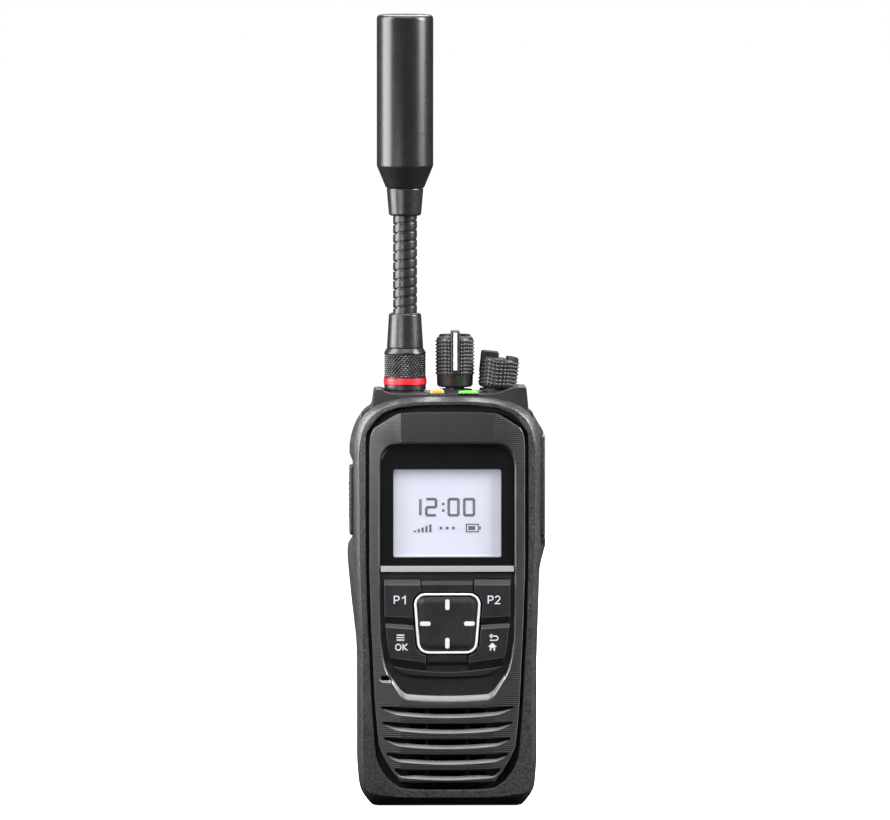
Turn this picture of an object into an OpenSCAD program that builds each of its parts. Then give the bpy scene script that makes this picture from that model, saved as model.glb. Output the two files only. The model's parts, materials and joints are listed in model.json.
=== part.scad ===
// Handheld satellite telephone with a gooseneck antenna and two top knobs.
// Millimetres. +Z is up, the front faces -Y, and the origin is under the middle of the base.

/* [Handset] */
// Depth of the handset with its battery pack
body_depth = 32.8; // [32.6:0.1:33.2]
// Half the width of the flat middle of the front
facet_half = 14.95; // [14.5:0.05:15.4]
// Angle at which each side of the front slopes back
facet_angle = 11; // [10:0.5:12]
// Wall of the front case and of the rear chassis
wall = 2; // [1.8:0.1:2.2]
// Where the front case meets the rear chassis
split_y = 1.5; // [1.4:0.1:1.6]
// Height of the top deck
deck_z = 132.6; // [132.4:0.1:132.8]

/* [Window and keypad] */
// Depth of the window and keypad below the middle of the front
island_depth = 2; // [1.9:0.1:2.1]
// Width of the picture area of the display
screen_w = 34.6; // [34:0.1:35]
// Height of the picture area of the display
screen_h = 28.3; // [28:0.1:28.6]
// Bottom of the picture area
screen_z = 80.2; // [80:0.1:80.4]
// Travel of a key
key_travel = 0.6; // [0.4:0.1:0.6]
// Gap round each key
key_gap = 0.25; // [0.2:0.05:0.3]
// Height of the middle of the four-way pad
pad_z = 58.85; // [58.8:0.05:58.9]
// Number of speaker slots
slot_count = 5; // [4:1:5]
// Distance between speaker slots
slot_pitch = 5; // [4.9:0.1:5]

/* [Side controls] */
// Travel of the push-to-talk button
ptt_travel = 1.2; // [0.8:0.1:1.3]
// Half the width of the case at its upper sides
side_half = 30.1; // [30.05:0.05:30.15]
// Outermost reach of the sides
reach = 31.85; // [31.8:0.05:31.9]

/* [Knobs] */
// Radius of both knobs
knob_r = 6; // [5.9:0.05:6.05]
// Place of the channel selector across the deck
selector_x = 2.75; // [2.7:0.05:2.8]
// Place of the volume control across the deck
volume_x = 16.1; // [16:0.05:16.2]
// Outward tilt of the volume control
volume_tilt = 6; // [5.5:0.5:6.5]
// Place of the knobs and the antenna front to back
deck_y = 1; // [0.8:0.1:1.2]

/* [Antenna] */
// Place of the antenna across the deck
antenna_x = -13.3; // [-13.4:0.05:-13.2]
// Radius of the knurled sleeve
sleeve_r = 6.7; // [6.6:0.05:6.75]
// Radius of the gooseneck
neck_r = 3.8; // [3.7:0.05:3.9]
// Length of the gooseneck between its ferrules
neck_length = 31.4; // [31:0.1:31.8]
// Radius of the antenna cover
radome_r = 9.1; // [9:0.05:9.2]
// Overall height
top_z = 254.1; // [253.6:0.1:254.6]

/* [Battery] */
// Half the width of the battery pack
battery_half = 27.2; // [27:0.1:27.4]
// Top of the battery pack
battery_top = 112.4; // [112.2:0.1:112.5]
// Travel of the battery latch
latch_travel = 2.4; // [2:0.1:2.4]

/* [Hidden] */
$fn = 64;

// Depths, from the front to the back
front_y = -body_depth / 2;
back_y = body_depth / 2;
island_y = front_y + island_depth;
lens_back = island_y + 1.2;
flange_y = -12.2;
panel_back = -10.9;
plate_back = -12.9;
cap_back = -12.6;
key_y = island_y - 0.6;
pad_y = island_y - 0.9;
mat_y = -11.6;
board_y = -10.6;
board_back = -9.4;
step_y = -11.5;
step_z = 125.2;
chassis_back = 6.3;
floor_y = 4.8;
battery_y = 6.6;

// Left half of each outline in the XZ plane, from the bottom to the top
frame_half = [
  [24, 0], [27.1, 3.8], [28.2, 6.4], [28.8, 14], [28.8, 47], [29.4, 66], [29.9, 80],
  [side_half, 108], [side_half, 116], [29.6, 120], [28.9, 122.8], [27.7, 125.4],
  [26, 127.4], [22.6, 129.5], [15, 131.4], [7.5, 131.9]
];
groove_half = [
  [7.5, 5.4], [14.8, 5.7], [18.4, 8.2], [20.9, 11.2], [22.8, 15.4], [23.4, 21], [24.3, 34],
  [25.6, 60], [26.1, 80], [26.1, 117], [25.2, 121], [23.2, 124.2], [20, 126.6], [15, 128.4],
  [7.5, 129.2]
];
panel_half = [
  [14.8, 7.7], [17.6, 11.2], [20.2, 15.4], [21.9, 19.4], [22.5, 24], [23.3, 34], [24.5, 60],
  [25, 75], [25, 116.5], [24.3, 118.6], [23.4, 121.3], [21.6, 122.9], [18.4, 125.2],
  [facet_half, 126.6], [7.5, 127.1]
];
island_half = [
  [14, 35.6], [19.1, 43.2], [20.3, 47.6], [21.3, 53.4], [21.5, 66], [21.6, 75], [21.6, 110],
  [21.1, 112.6], [19.8, 114.5], [17.9, 115.7], [15.6, 116]
];
keypad_half = [
  [8, 41], [15.5, 41.9], [18.9, 43.9], [20, 47.6], [20.9, 53.4], [21.1, 66], [21.2, 75.2]
];
plan_half = [
  [facet_half, front_y], [28.4, front_y + (28.4 - facet_half) * tan(facet_angle)],
  [29.4, -12.4], [side_half, -10.6], [31.2, -9.4], [32.4, -7.6], [32.4, 2],
  [side_half, 5.6], [29, 9], [27, 13.4], [23, back_y]
];
// Side view, from the bottom of the front round to the bottom of the back
profile = [
  [front_y, 5], [front_y, 130.4], [front_y + 1, 131.8], [front_y + 2.6, 132.4],
  [front_y + 2.6, 140], [back_y - 2.4, 140], [back_y - 2.4, 133], [back_y, 129.5],
  [back_y, 6], [back_y - 3, 0], [front_y + 3.2, 0]
];
// Sides that stand out round the push-to-talk button and the jack cover
lower_ear = [
  [-28, 47], [-29.1, 53.4], [-30.6, 66.2], [-reach, 79], [-reach, 83.9], [-29.9, 86],
  [-28, 86]
];
upper_ear = [
  [-28, 110.6], [-29.9, 110.6], [-31.4, 112.8], [-31.2, 115.7], [-30.6, 119.1],
  [-29.5, 122.5], [-27.9, 125.4], [-26, 127.4]
];
cover_foot = [[28, 74], [29.4, 76], [31.6, 83.2], [31.6, 83.6], [28, 83.6]];
cover_head = [
  [28, 119.3], [31.4, 119.3], [30.85, 120.6], [28.96, 123.5], [27.7, 126.3], [26, 127.4]
];
// Top of the rear chassis with a horn at each side
deck_outline = [
  [-26.2, 122], [-26.2, 127], [-23.9, 129.4], [-23.3, 134.1], [-20.8, 134.1],
  [-18.6, deck_z], [15.3, deck_z], [21.2, 134.8], [25.5, 134.8], [26.1, 129], [26.2, 122]
];

// Push-to-talk button
ptt_z = [86.9, 109.5];
ptt_y = [-8.7, -0.7];
ptt_face = 31.4;
ptt_flange = [27.1, 27.9];

// Accessory jack and its cover
cover_y = [-8.6, 0.9];
cover_x = [30.15, 31.6];
cover_z = [85, 119];
hinge_x = 30.85;
hinge_r = 0.35;
jack_z = [92, 110];
jack_screw_z = 115.5;
jack_screw_y = (cover_y[0] + cover_y[1]) / 2;

// Case screws: place across, height
screw_spots = [[24.4, 12], [25.4, 78]];
screw_r = 1.25;
boss_r = 2.8;

// Belt clip screws in the upper back
clip_z = 121;
clip_spacing = 22;
clip_hole_r = 1.25;
clip_hole_depth = 5;

// Emergency button and status light
emergency_x = [-5.3, -0.9];
emergency_y = [-10.2, -6.6];
light_x = [3.7, 9.9];
light_y = [-11.2, -9];

// Four-way pad: half width at its top and bottom, corner radius
pad_top = 10.67;
pad_bottom = 9.7;
pad_low = 49.1;
pad_high = 68.6;
pad_corner = 3.7;
rim_w = 0.85;

// Antenna heights
connector_r = 4;
connector_top = 140;
sleeve_z = 133.2;
ring_z = [135.1, 137.1];
ring_r = 6.9;
shoulder_z = 145.3;
ferrule_z = 146.7;
neck_z = 158;
neck_top = neck_z + neck_length;
cone_z = neck_top + 8.9;
tube_z = cone_z + 7.2;
joint_count = 6;
joint_pitch = neck_length / joint_count;
neck_cone = tan(8.2);
ball_r = 1.5;
socket_r = 1.7;
helix_steps = 10;
helix_step_h = 4.1;

function mirrored(half) = concat(
  half, [for (i = [len(half) - 1:-1:0]) [-half[i][0], half[i][1]]]
);
function joint_z(i) = neck_z + joint_pitch * (i - 0.5);
// Points of a shallow arc that sags in the middle
function arc(half, z, sag, count) = [
  for (i = [0:count]) let (x = -half + 2 * half * i / count) [x, z - sag * (1 - pow(x / half, 2))]
];
function reversed(list) = [for (i = [len(list) - 1:-1:0]) list[i]];

// Extrudes an outline in the XZ plane from y0 back to y1
module slab(y0, y1) {
  translate([0, y1, 0])
    rotate([90, 0, 0])
      linear_extrude(y1 - y0)
        children();
}

module block(x, y, z) {
  translate([x[0], y[0], z[0]])
    cube([x[1] - x[0], y[1] - y[0], z[1] - z[0]]);
}

// A cylinder along X or along Y
module rod_x(x0, x1, y, z, r) {
  translate([x0, y, z])
    rotate([0, 90, 0])
      cylinder(h = x1 - x0, r = r);
}

module rod_y(y0, y1, x, z, r) {
  translate([x, y1, z])
    rotate([90, 0, 0])
      cylinder(h = y1 - y0, r = r);
}

module frame_outline() {
  polygon(mirrored(frame_half));
}

module plan_block() {
  linear_extrude(160)
    polygon(concat(plan_half, [for (i = [len(plan_half) - 1:-1:0]) [-plan_half[i][0], plan_half[i][1]]]));
}

module profile_block() {
  translate([-40, 0, 0])
    rotate([90, 0, 90])
      linear_extrude(80)
        polygon(profile);
}

module ears() {
  polygon(lower_ear);
  polygon(upper_ear);
  polygon(cover_foot);
  polygon(cover_head);
}

// Bodies of both knobs stand on these frames, with z = 0 on the deck
module at_selector() {
  translate([selector_x, deck_y, deck_z])
    children();
}

module at_volume() {
  translate([volume_x, deck_y, deck_z])
    rotate([0, volume_tilt, 0])
      children();
}

module at_antenna() {
  translate([antenna_x, deck_y, 0])
    children();
}

module front_case() {
  color("#3a3a3e")
    difference() {
      union() {
        difference() {
          intersection() {
            slab(front_y, split_y)
              union() {
                frame_outline();
                ears();
              }
            plan_block();
            profile_block();
          }
          slab(panel_back, split_y + 1)
            offset(delta = -wall)
              frame_outline();
        }
        for (side = [-1, 1])
          for (spot = screw_spots)
            rod_y(-10.8, split_y, side * spot[0], spot[1], boss_r);
        cover_lugs();
      }
      block([-40, 40], [step_y, 10], [step_z, 150]);
      slab(front_y - 1, flange_y + 0.01)
        polygon(mirrored(groove_half));
      slab(flange_y, panel_back + 0.01)
        offset(delta = 0.9)
          polygon(mirrored(groove_half));
      for (side = [-1, 1])
        for (spot = screw_spots)
          rod_y(-9, split_y + 1, side * spot[0], spot[1], screw_r + 0.02);
      // Window for the push-to-talk button
      block([-40, -20], [ptt_y[0] - 0.3, ptt_y[1] + 0.3], [ptt_z[0] - 0.3, ptt_z[1] + 0.3]);
      // Window for the accessory jack, and the hole for the cover's screw
      block([20, 40], [-7.2, -0.8], [jack_z[0] - 0.2, jack_z[1] + 0.2]);
      rod_x(20, 40, jack_screw_y, jack_screw_z, 1.2);
    }
}

// Two lugs that carry the jack cover
module cover_lugs() {
  for (y = [cover_y[0], cover_y[1] - 1.4])
    difference() {
      block([29.6, 31.6], [y, y + 1.4], [83.2, 86.2]);
      rod_y(y - 1, y + 3, hinge_x, cover_z[0], hinge_r + 0.07);
    }
}

module slot_crescent(i) {
  half = [21.2, 20.8, 20.3, 19.5, 17][i];
  z = 31.6 - slot_pitch * i;
  polygon(concat(arc(half, z, 3.1, 16), reversed(arc(half - 0.3, z + 0.2, 0.3, 8))));
}

module front_panel() {
  color("#45454a")
    difference() {
      union() {
        intersection() {
          slab(front_y, flange_y + 0.2)
            polygon(mirrored(panel_half));
          plan_block();
        }
        slab(flange_y, panel_back)
          offset(delta = 0.75)
            polygon(mirrored(groove_half));
      }
      // Recess of the window and the keypad, and the seat of the silver strip below it
      slab(front_y - 1, island_y)
        polygon(mirrored(island_half));
      slab(front_y - 1, island_y)
        trim_outline(0.05);
      // Thinner flange in front of the deck
      block([-30, 30], [step_y - 0.02, 0], [step_z - 0.1, 140]);
      slab(front_y - 1, lens_back)
        lens_outline(0);
      block([-19.6, 19.6], [front_y, 0], [79, 112]);
      block([-21.5, 21.5], [front_y, lens_back - 0.2], [75.45, 77.45]);
      slab(front_y - 1, plate_back)
        keypad_outline(0);
      slab(front_y - 1, 0)
        keypad_outline(-0.6);
      // Speaker slots, with two ribs left across each
      for (i = [0:slot_count - 1]) {
        slab(front_y - 1, -13.6)
          slot_crescent(i);
        for (x = [[-12.4, -7], [-6, 6], [7, 12.4]])
          block(x, [front_y, 0], [29.6 - slot_pitch * i, 31.1 - slot_pitch * i]);
      }
      // Microphone port and pocket
      block([-21.2, -18.6], [front_y, 0], [40.7, 41.8]);
      rod_y(-12.4, 0, -19.9, 41.25, 2.1);
    }
}

module trim_outline(gap) {
  polygon(concat(
    arc(14 + gap, 34.5 - gap, 0.65, 14), reversed(arc(14 + gap, 36.2 + gap, 0.65, 14))
  ));
}

module lens_outline(gap) {
  offset(delta = -gap)
    intersection() {
      polygon(mirrored(island_half));
      translate([-30, 77.45])
        square([60, 60]);
    }
}

module keypad_outline(grow) {
  offset(delta = grow)
    polygon(mirrored(keypad_half));
}

module pad_outline(grow) {
  offset(r = pad_corner + grow)
    polygon([
      [-pad_bottom + pad_corner, pad_low + pad_corner],
      [pad_bottom - pad_corner, pad_low + pad_corner],
      [pad_top - pad_corner, pad_high - pad_corner],
      [-pad_top + pad_corner, pad_high - pad_corner]
    ]);
}

module rear_chassis() {
  color("#333337")
    difference() {
      union() {
        difference() {
          intersection() {
            union() {
              slab(split_y, chassis_back)
                union() {
                  frame_outline();
                  ears();
                }
              slab(split_y, back_y)
                intersection() {
                  frame_outline();
                  translate([-40, battery_top + 0.6])
                    square([80, 40]);
                }
              slab(step_y, back_y)
                deck();
            }
            plan_block();
            profile_block();
          }
          // Inside of the tray, and of the deep part above the battery
          slab(split_y - 1, floor_y)
            intersection() {
              offset(delta = -wall)
                frame_outline();
              translate([-40, 0])
                square([80, 116]);
            }
          block([-24.4, 24.4], [step_y + wall, back_y - wall], [115, deck_z - 2.2]);
        }
        for (side = [-1, 1])
          for (spot = screw_spots)
            rod_y(split_y, floor_y + 0.5, side * spot[0], spot[1], boss_r);
        // Low surround of the emergency button and the status light
        block([-6.6, 10.9], [step_y, -5.9], [deck_z - 1, deck_z + 0.15]);
        clip_bosses();
      }
      gasket_ring(0.05);
      block([-40, 40], [step_y - 1, split_y], [0, step_z]);
      for (side = [-1, 1])
        for (spot = screw_spots) {
          rod_y(split_y - 1, 10, side * spot[0], spot[1], screw_r + 0.1);
          rod_y(floor_y + 0.3, 10, side * spot[0], spot[1], 2.35);
        }
      // Holes for what stands in the deck
      at_antenna()
        translate([0, 0, 120])
          cylinder(h = 30, r = connector_r + 0.05);
      at_antenna()
        translate([0, 0, deck_z])
          cylinder(h = 10, r = sleeve_r + 0.9);
      at_selector()
        translate([0, 0, -8])
          cylinder(h = 12, r = 4.55);
      at_volume() {
        translate([0, 0, -8])
          cylinder(h = 12, r = 4.55);
        cylinder(h = 10, r = knob_r + 0.9);
      }
      block([emergency_x[0] - 0.3, emergency_x[1] + 0.3], [emergency_y[0] - 0.3, emergency_y[1] + 0.3], [125, 140]);
      block([light_x[0] - 0.05, light_x[1] + 0.05], [light_y[0] - 0.05, light_y[1] + 0.05], [125, 140]);
      // Both are open to the front above the edge of the deck
      block([emergency_x[0] - 0.3, emergency_x[1] + 0.3], [step_y - 1, emergency_y[0]], [deck_z - 0.25, 140]);
      block([light_x[0] - 0.05, light_x[1] + 0.05], [step_y - 1, light_y[0]], [deck_z - 0.6, 140]);
      // Belt clip screw holes, battery terminals and the latch's notch
      for (side = [-1, 1])
        rod_y(back_y - clip_hole_depth, back_y + 1, side * clip_spacing / 2, clip_z, clip_hole_r);
      for (i = [-2:2])
        block([i * 4 - 1.05, i * 4 + 1.05], [0, 10], [13, 17]);
      block([-6.4, 6.4], [floor_y - 1, 10], [5, 10.4]);
    }
}

// Solid bosses inside the upper back, for the belt clip screws
module clip_bosses() {
  for (side = [-1, 1])
    rod_y(back_y - clip_hole_depth - 1.5, back_y - 1, side * clip_spacing / 2, clip_z, 3);
}

module deck() {
  intersection() {
    polygon(deck_outline);
    translate([-40, step_z])
      square([80, 40]);
  }
}

module gasket_ring(grow) {
  slab(split_y - grow, split_y + 0.6 + grow)
    intersection() {
      difference() {
        offset(delta = grow - 0.6)
          frame_outline();
        offset(delta = -1.4 - grow)
          frame_outline();
      }
      translate([-40, 0])
        square([80, step_z - 0.4 + grow]);
    }
}

module case_gasket() {
  color("#1c1c1e")
    gasket_ring(0);
}

module window_lens() {
  color("#0d0f0e")
    slab(island_y, lens_back)
      lens_outline(0.15);
}

module display_trim() {
  color("#c9c9cb")
    difference() {
      block([-21.4, 21.4], [island_y - 0.5, lens_back - 0.25], [75.5, 77.35]);
      // Sloping upper edge
      translate([-30, island_y - 0.5, 77.35])
        rotate([45, 0, 0])
          cube([60, 0.7, 0.7]);
    }
}

module lower_trim() {
  color("#c9c9cb")
    slab(front_y + 0.5, island_y)
      trim_outline(0);
}

module lcd_module() {
  color("#dfe0ee")
    difference() {
      block([-19.3, 19.3], [lens_back + 0.1, panel_back - 0.1], [79.3, 111.7]);
      block([-screen_w / 2, screen_w / 2], [-20, lens_back + 0.4], [screen_z, screen_z + screen_h]);
    }
}

// Outlines of the four keys on the left; the right ones mirror them
module upper_key_outline() {
  difference() {
    polygon([[-20.3, 73.1], [-8.75, 73.1], [-8.75, 58.7], [-20.05, 59.5]]);
    pad_outline(0.75);
  }
}

module lower_key_outline() {
  difference() {
    polygon([
      [-20, 58.9], [-8, 58.1], [-7, 50], [-6.9, 44], [-12, 44.5], [-17.6, 45.4], [-18.9, 50]
    ]);
    pad_outline(0.75);
  }
}

module keypad_frame() {
  color("#2e2e32")
    difference() {
      slab(island_y, plate_back - 0.05)
        difference() {
          keypad_outline(-0.1);
          for (side = [0, 1])
            mirror([side, 0]) {
              offset(delta = key_gap)
                upper_key_outline();
              offset(delta = key_gap)
                lower_key_outline();
            }
          pad_outline(0.3);
        }
    }
  // Raised fillers above and below the pad, and the lip below the keys
  color("#2e2e32")
    slab(key_y, island_y + 0.2) {
      difference() {
        polygon([[-8.1, 73.1], [8.1, 73.1], [8.1, 69.2], [-8.1, 69.2]]);
        pad_outline(0.6);
      }
      difference() {
        polygon([[-6.1, 48.5], [6.1, 48.5], [6, 44], [-6, 44]]);
        pad_outline(0.6);
      }
      polygon(concat(arc(17, 43.3, 1.5, 12), reversed(arc(17.2, 44.6, 1.4, 12))));
    }
}

module keypad_mat() {
  color("#1a1a1c")
    slab(mat_y, panel_back)
      keypad_outline(-0.8);
}

// A key cap with a sloped top and bottom edge on its face
module key_cap(top, bottom) {
  difference() {
    slab(key_y, cap_back)
      children();
    translate([-30, key_y, top - 1.8])
      rotate([-24, 0, 0])
        translate([0, -3, 0])
          cube([60, 3, 4]);
    translate([-30, key_y, bottom + 2])
      rotate([20, 0, 0])
        translate([0, -3, -4])
          cube([60, 3, 4]);
  }
}

module upper_left_key() {
  color("#323236")
    key_cap(73.1, 59.3)
      upper_key_outline();
}

module upper_right_key() {
  color("#323236")
    mirror([1, 0, 0])
      key_cap(73.1, 59.3)
        upper_key_outline();
}

module menu_key() {
  color("#323236")
    key_cap(58.9, 44.4)
      lower_key_outline();
}

module back_key() {
  color("#323236")
    mirror([1, 0, 0])
      key_cap(58.9, 44.4)
        lower_key_outline();
}

// The pad rocks on the round carrier behind it
module pad_carrier() {
  color("#1a1a1c")
    rod_y(cap_back - 0.1, mat_y - 0.25, 0, pad_z, 2.2);
}

module four_way_pad() {
  color("#303034")
    difference() {
      slab(pad_y, cap_back)
        pad_outline(-rim_w);
      rod_y(cap_back - 0.4, cap_back + 1, 0, pad_z, 2.6);
    }
}

module pad_rim() {
  color("#e6e6ea")
    slab(pad_y + 0.1, cap_back)
      difference() {
        pad_outline(0);
        pad_outline(-rim_w);
      }
}

module speaker() {
  color("#2a2a2c") {
    rod_y(board_y, -8.6, 0, 20, 13);
    rod_y(-8.6, -6.4, 0, 20, 8);
  }
}

module speaker_mesh() {
  color("#141415")
    slab(panel_back + 0.02, board_y - 0.02)
      intersection() {
        offset(delta = -1.5)
          polygon(mirrored(groove_half));
        square([80, 64], center = true);
      }
}

module microphone() {
  color("#9a9a9e")
    rod_y(-12.3, board_y - 0.1, -19.9, 41.25, 2);
}

module main_board() {
  color("#1f5a35")
    block([-22.3, 22.3], [board_y, board_back], [36, 124]);
}

module rf_shield() {
  color("#b9bcc0")
    difference() {
      block([-19, 19], [board_back, -6.4], [84, 114]);
      block([-18.6, 18.6], [board_back - 1, -6.8], [84.4, 113.6]);
    }
}

module satellite_modem() {
  color("#a9adb2") {
    block([-21.5, 21.5], [-5.4, -4.4], [46, 112]);
    block([-19.5, 19.5], [-4.4, -0.6], [50, 108]);
  }
}

module gps_patch() {
  color("#d8cdb8") {
    block([-6.5, 6.5], [9, 12], [116, 129]);
    block([-5, 5], [8.7, 9], [117.5, 127.5]);
  }
}

module battery_terminals() {
  color("#d6a93c")
    for (i = [-2:2])
      block([i * 4 - 1, i * 4 + 1], [3.6, chassis_back + 0.15], [13.1, 16.9]);
}

// Threaded post that the antenna screws onto
module antenna_connector() {
  color("#c8a24a")
    at_antenna()
      difference() {
        union() {
          translate([0, 0, 122])
            cylinder(h = connector_top - 122, r = connector_r);
          translate([0, 0, 126])
            cylinder(h = deck_z - 2.2 - 126, r = 6, $fn = 6);
        }
        translate([0, 0, 131])
          cylinder(h = 20, r = 1);
      }
}

module control_body(bushing_top) {
  difference() {
    union() {
      translate([-5.5, -5.5, -13.5])
        cube([11, 11, 10.4]);
      translate([0, 0, -4])
        cylinder(h = bushing_top + 4, r = 4.5);
    }
    translate([0, 0, -12])
      cylinder(h = 40, r = 3.07);
  }
}

module selector_switch() {
  color("#8f9296")
    at_selector()
      control_body(1);
}

module volume_control() {
  color("#8f9296")
    at_volume()
      control_body(0.9);
}

module seal_ring(top) {
  difference() {
    cylinder(h = top, r = 5.5);
    translate([0, 0, -1])
      cylinder(h = 4, r = 4.55);
  }
}

module knob_seals() {
  color("#18181a") {
    at_selector()
      seal_ring(0.9);
    at_volume()
      seal_ring(0.7);
  }
}

module status_light() {
  color("#54c83c")
    block(light_x, light_y, [127, deck_z + 1]);
}

module accessory_jack() {
  color("#28282a")
    difference() {
      block([23.4, 29.8], [-7, -1], jack_z);
      for (i = [0:6])
        rod_x(27.8, 31, -4, jack_z[0] + 3 + 2 * i, 0.6);
    }
}

module ptt_switch() {
  color("#6d6f73")
    block([-25.3, -21.8], [board_back, -6.2], [94, 102]);
}

module case_screws() {
  color("#8d8f92")
    for (side = [-1, 1])
      for (spot = screw_spots) {
        rod_y(-7.5, floor_y + 0.6, side * spot[0], spot[1], screw_r);
        difference() {
          rod_y(floor_y + 0.4, chassis_back, side * spot[0], spot[1], 2.3);
          rod_y(floor_y + 0.9, chassis_back + 1, side * spot[0], spot[1], 1);
        }
      }
}

module emergency_button() {
  color("#f08a28") {
    block(emergency_x, emergency_y, [129.8, deck_z + 1.5]);
    block([emergency_x[0] - 0.8, emergency_x[1] + 0.8], [emergency_y[0] + 0.8, emergency_y[1] + 0.8], [129, 129.9]);
  }
}

module ptt_button() {
  color("#2b2b2e") {
    intersection() {
      block([-ptt_face, -ptt_flange[0]], ptt_y, ptt_z);
      // Rounded outer edge, as seen from the front
      slab(-20, 5)
        polygon([
          [-20, 84], [-30.6, 86.9], [-ptt_face, 88.3], [-ptt_face, 108], [-30.6, 109.5],
          [-20, 112]
        ]);
    }
    block([-ptt_flange[1], -ptt_flange[0]], [ptt_y[0] - 0.7, ptt_y[1] + 0.6], [ptt_z[0] - 0.7, ptt_z[1] + 0.7]);
  }
}

module jack_cover() {
  color("#3f3f43")
    difference() {
      union() {
        block(cover_x, cover_y, [86.5, cover_z[1]]);
        block(cover_x, [cover_y[0] + 1.7, cover_y[1] - 1.7], [cover_z[0], 87]);
        rod_y(cover_y[0] + 1.7, cover_y[1] - 1.7, hinge_x, cover_z[0], 0.7);
        rod_y(cover_y[0] + 0.3, cover_y[1] - 0.3, hinge_x, cover_z[0], hinge_r);
      }
      rod_x(29, 33, jack_screw_y, jack_screw_z, 1);
      rod_x(31.1, 33, jack_screw_y, jack_screw_z, 2.3);
    }
}

module jack_screw() {
  color("#8d8f92")
    difference() {
      union() {
        rod_x(28.6, 31.2, jack_screw_y, jack_screw_z, 0.9);
        rod_x(31.15, reach, jack_screw_y, jack_screw_z, 2.1);
      }
      block([31.5, 33], [jack_screw_y - 0.3, jack_screw_y + 0.3], [jack_screw_z - 3, jack_screw_z + 3]);
    }
}

// A knob with a smooth skirt, a raised pointer rib and a raised rim opposite it
module knob(height, rib_top, bore) {
  difference() {
    union() {
      rotate_extrude()
        polygon([
          [0, 1.6], [knob_r - 1.1, 1.6], [knob_r - 0.05, 2.7], [knob_r, 5.6],
          [knob_r, height - 1.4], [knob_r - 0.9, height - 0.4], [knob_r - 1.6, height - 0.4],
          [knob_r - 1.6, height - 1.2], [0, height - 1.2]
        ]);
      translate([-1.45, -knob_r - 0.25, 5.6])
        cube([2.9, knob_r, rib_top - 5.6]);
    }
    translate([0, 0, 1])
      cylinder(h = bore - 1, r = 3.02);
    // Seat of the inlay
    translate([-0.7, -knob_r - 1, 8])
      cube([1.4, 1.15, rib_top]);
  }
}

module knob_inlay(rib_top) {
  translate([-0.68, -knob_r - 0.35, 8.05])
    cube([1.36, 0.5, rib_top - 8.4]);
}

module knob_shaft(top) {
  difference() {
    translate([0, 0, -11.5])
      cylinder(h = top + 11.5, r = 3);
    translate([-5, 1.6, 3])
      cube([10, 5, 20]);
  }
}

module selector_knob() {
  color("#222225")
    at_selector()
      knob(18.6, 20, 15);
}

module selector_inlay() {
  color("#f4f4f6")
    at_selector()
      knob_inlay(20);
}

module selector_shaft() {
  color("#a7a9ad")
    at_selector()
      knob_shaft(14.8);
}

module volume_knob() {
  color("#222225")
    at_volume()
      rotate([0, 0, -90])
        knob(12.3, 13.5, 9);
}

module volume_inlay() {
  color("#f4f4f6")
    at_volume()
      rotate([0, 0, -90])
        knob_inlay(13.5);
}

module volume_shaft() {
  color("#a7a9ad")
    at_volume()
      knob_shaft(8.8);
}

module antenna_sleeve() {
  color("#29292c")
    at_antenna()
      difference() {
        rotate_extrude()
          polygon([
            [0, sleeve_z], [sleeve_r, sleeve_z], [sleeve_r, ring_z[0]], [6.35, ring_z[0]],
            [6.35, ring_z[1]], [sleeve_r, ring_z[1]], [sleeve_r, shoulder_z],
            [5.86, ferrule_z], [0, ferrule_z]
          ]);
        translate([0, 0, sleeve_z - 1])
          cylinder(h = 141 - sleeve_z + 1, r = connector_r + 0.08);
        translate([0, 0, 140])
          cylinder(h = 10, r = 1.45);
      }
}

module marker_ring() {
  color("#e8323c")
    at_antenna()
      difference() {
        translate([0, 0, ring_z[0]])
          cylinder(h = ring_z[1] - ring_z[0], r = ring_r);
        translate([0, 0, ring_z[0] - 1])
          cylinder(h = 10, r = 6.35);
      }
}

module antenna_plug() {
  color("#d6a93c")
    at_antenna() {
      translate([0, 0, 133])
        cylinder(h = 8, r = 0.92);
      translate([0, 0, 140.2])
        cylinder(h = 0.8, r = 3.9);
      translate([0, 0, 140.8])
        cylinder(h = ferrule_z - 140.8, r = 1.4);
    }
}

// One stretch of the gooseneck: a socket below, a ball above, both coned to let it bend
module neck_profile(z0, z1, socket, ball) {
  difference() {
    union() {
      rotate_extrude()
        polygon([
          [0, z0], [neck_r, z0 + (socket ? neck_r * neck_cone : 0)],
          [neck_r, z1 - (ball ? neck_r * neck_cone : 0)], [0, z1]
        ]);
      if (ball)
        translate([0, 0, z1])
          sphere(r = ball_r);
    }
    if (socket)
      translate([0, 0, z0])
        sphere(r = socket_r);
  }
}

module neck_link(i) {
  color("#242427")
    at_antenna()
      neck_profile(joint_z(i), joint_z(i + 1), true, true);
}

module neck_link_1() {
  neck_link(1);
}

module neck_link_2() {
  neck_link(2);
}

module neck_link_3() {
  neck_link(3);
}

module neck_link_4() {
  neck_link(4);
}

module neck_link_5() {
  neck_link(5);
}

module lower_ferrule() {
  color("#29292c")
    at_antenna() {
      translate([0, 0, ferrule_z])
        cylinder(h = neck_z - ferrule_z, r1 = 5.86, r2 = 5.19);
      neck_profile(neck_z - 1, joint_z(1), false, true);
    }
}

module upper_ferrule() {
  color("#29292c")
    at_antenna() {
      translate([0, 0, neck_top])
        cylinder(h = cone_z - neck_top, r1 = 5.2, r2 = 5.92);
      neck_profile(joint_z(joint_count), neck_top + 1, true, false);
    }
}

module radome_base() {
  color("#29292c")
    at_antenna() {
      translate([0, 0, cone_z])
        cylinder(h = tube_z - cone_z, r1 = 6.26, r2 = radome_r);
      translate([0, 0, tube_z - 0.5])
        cylinder(h = 2.5, r = radome_r - 1.05);
    }
}

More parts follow.
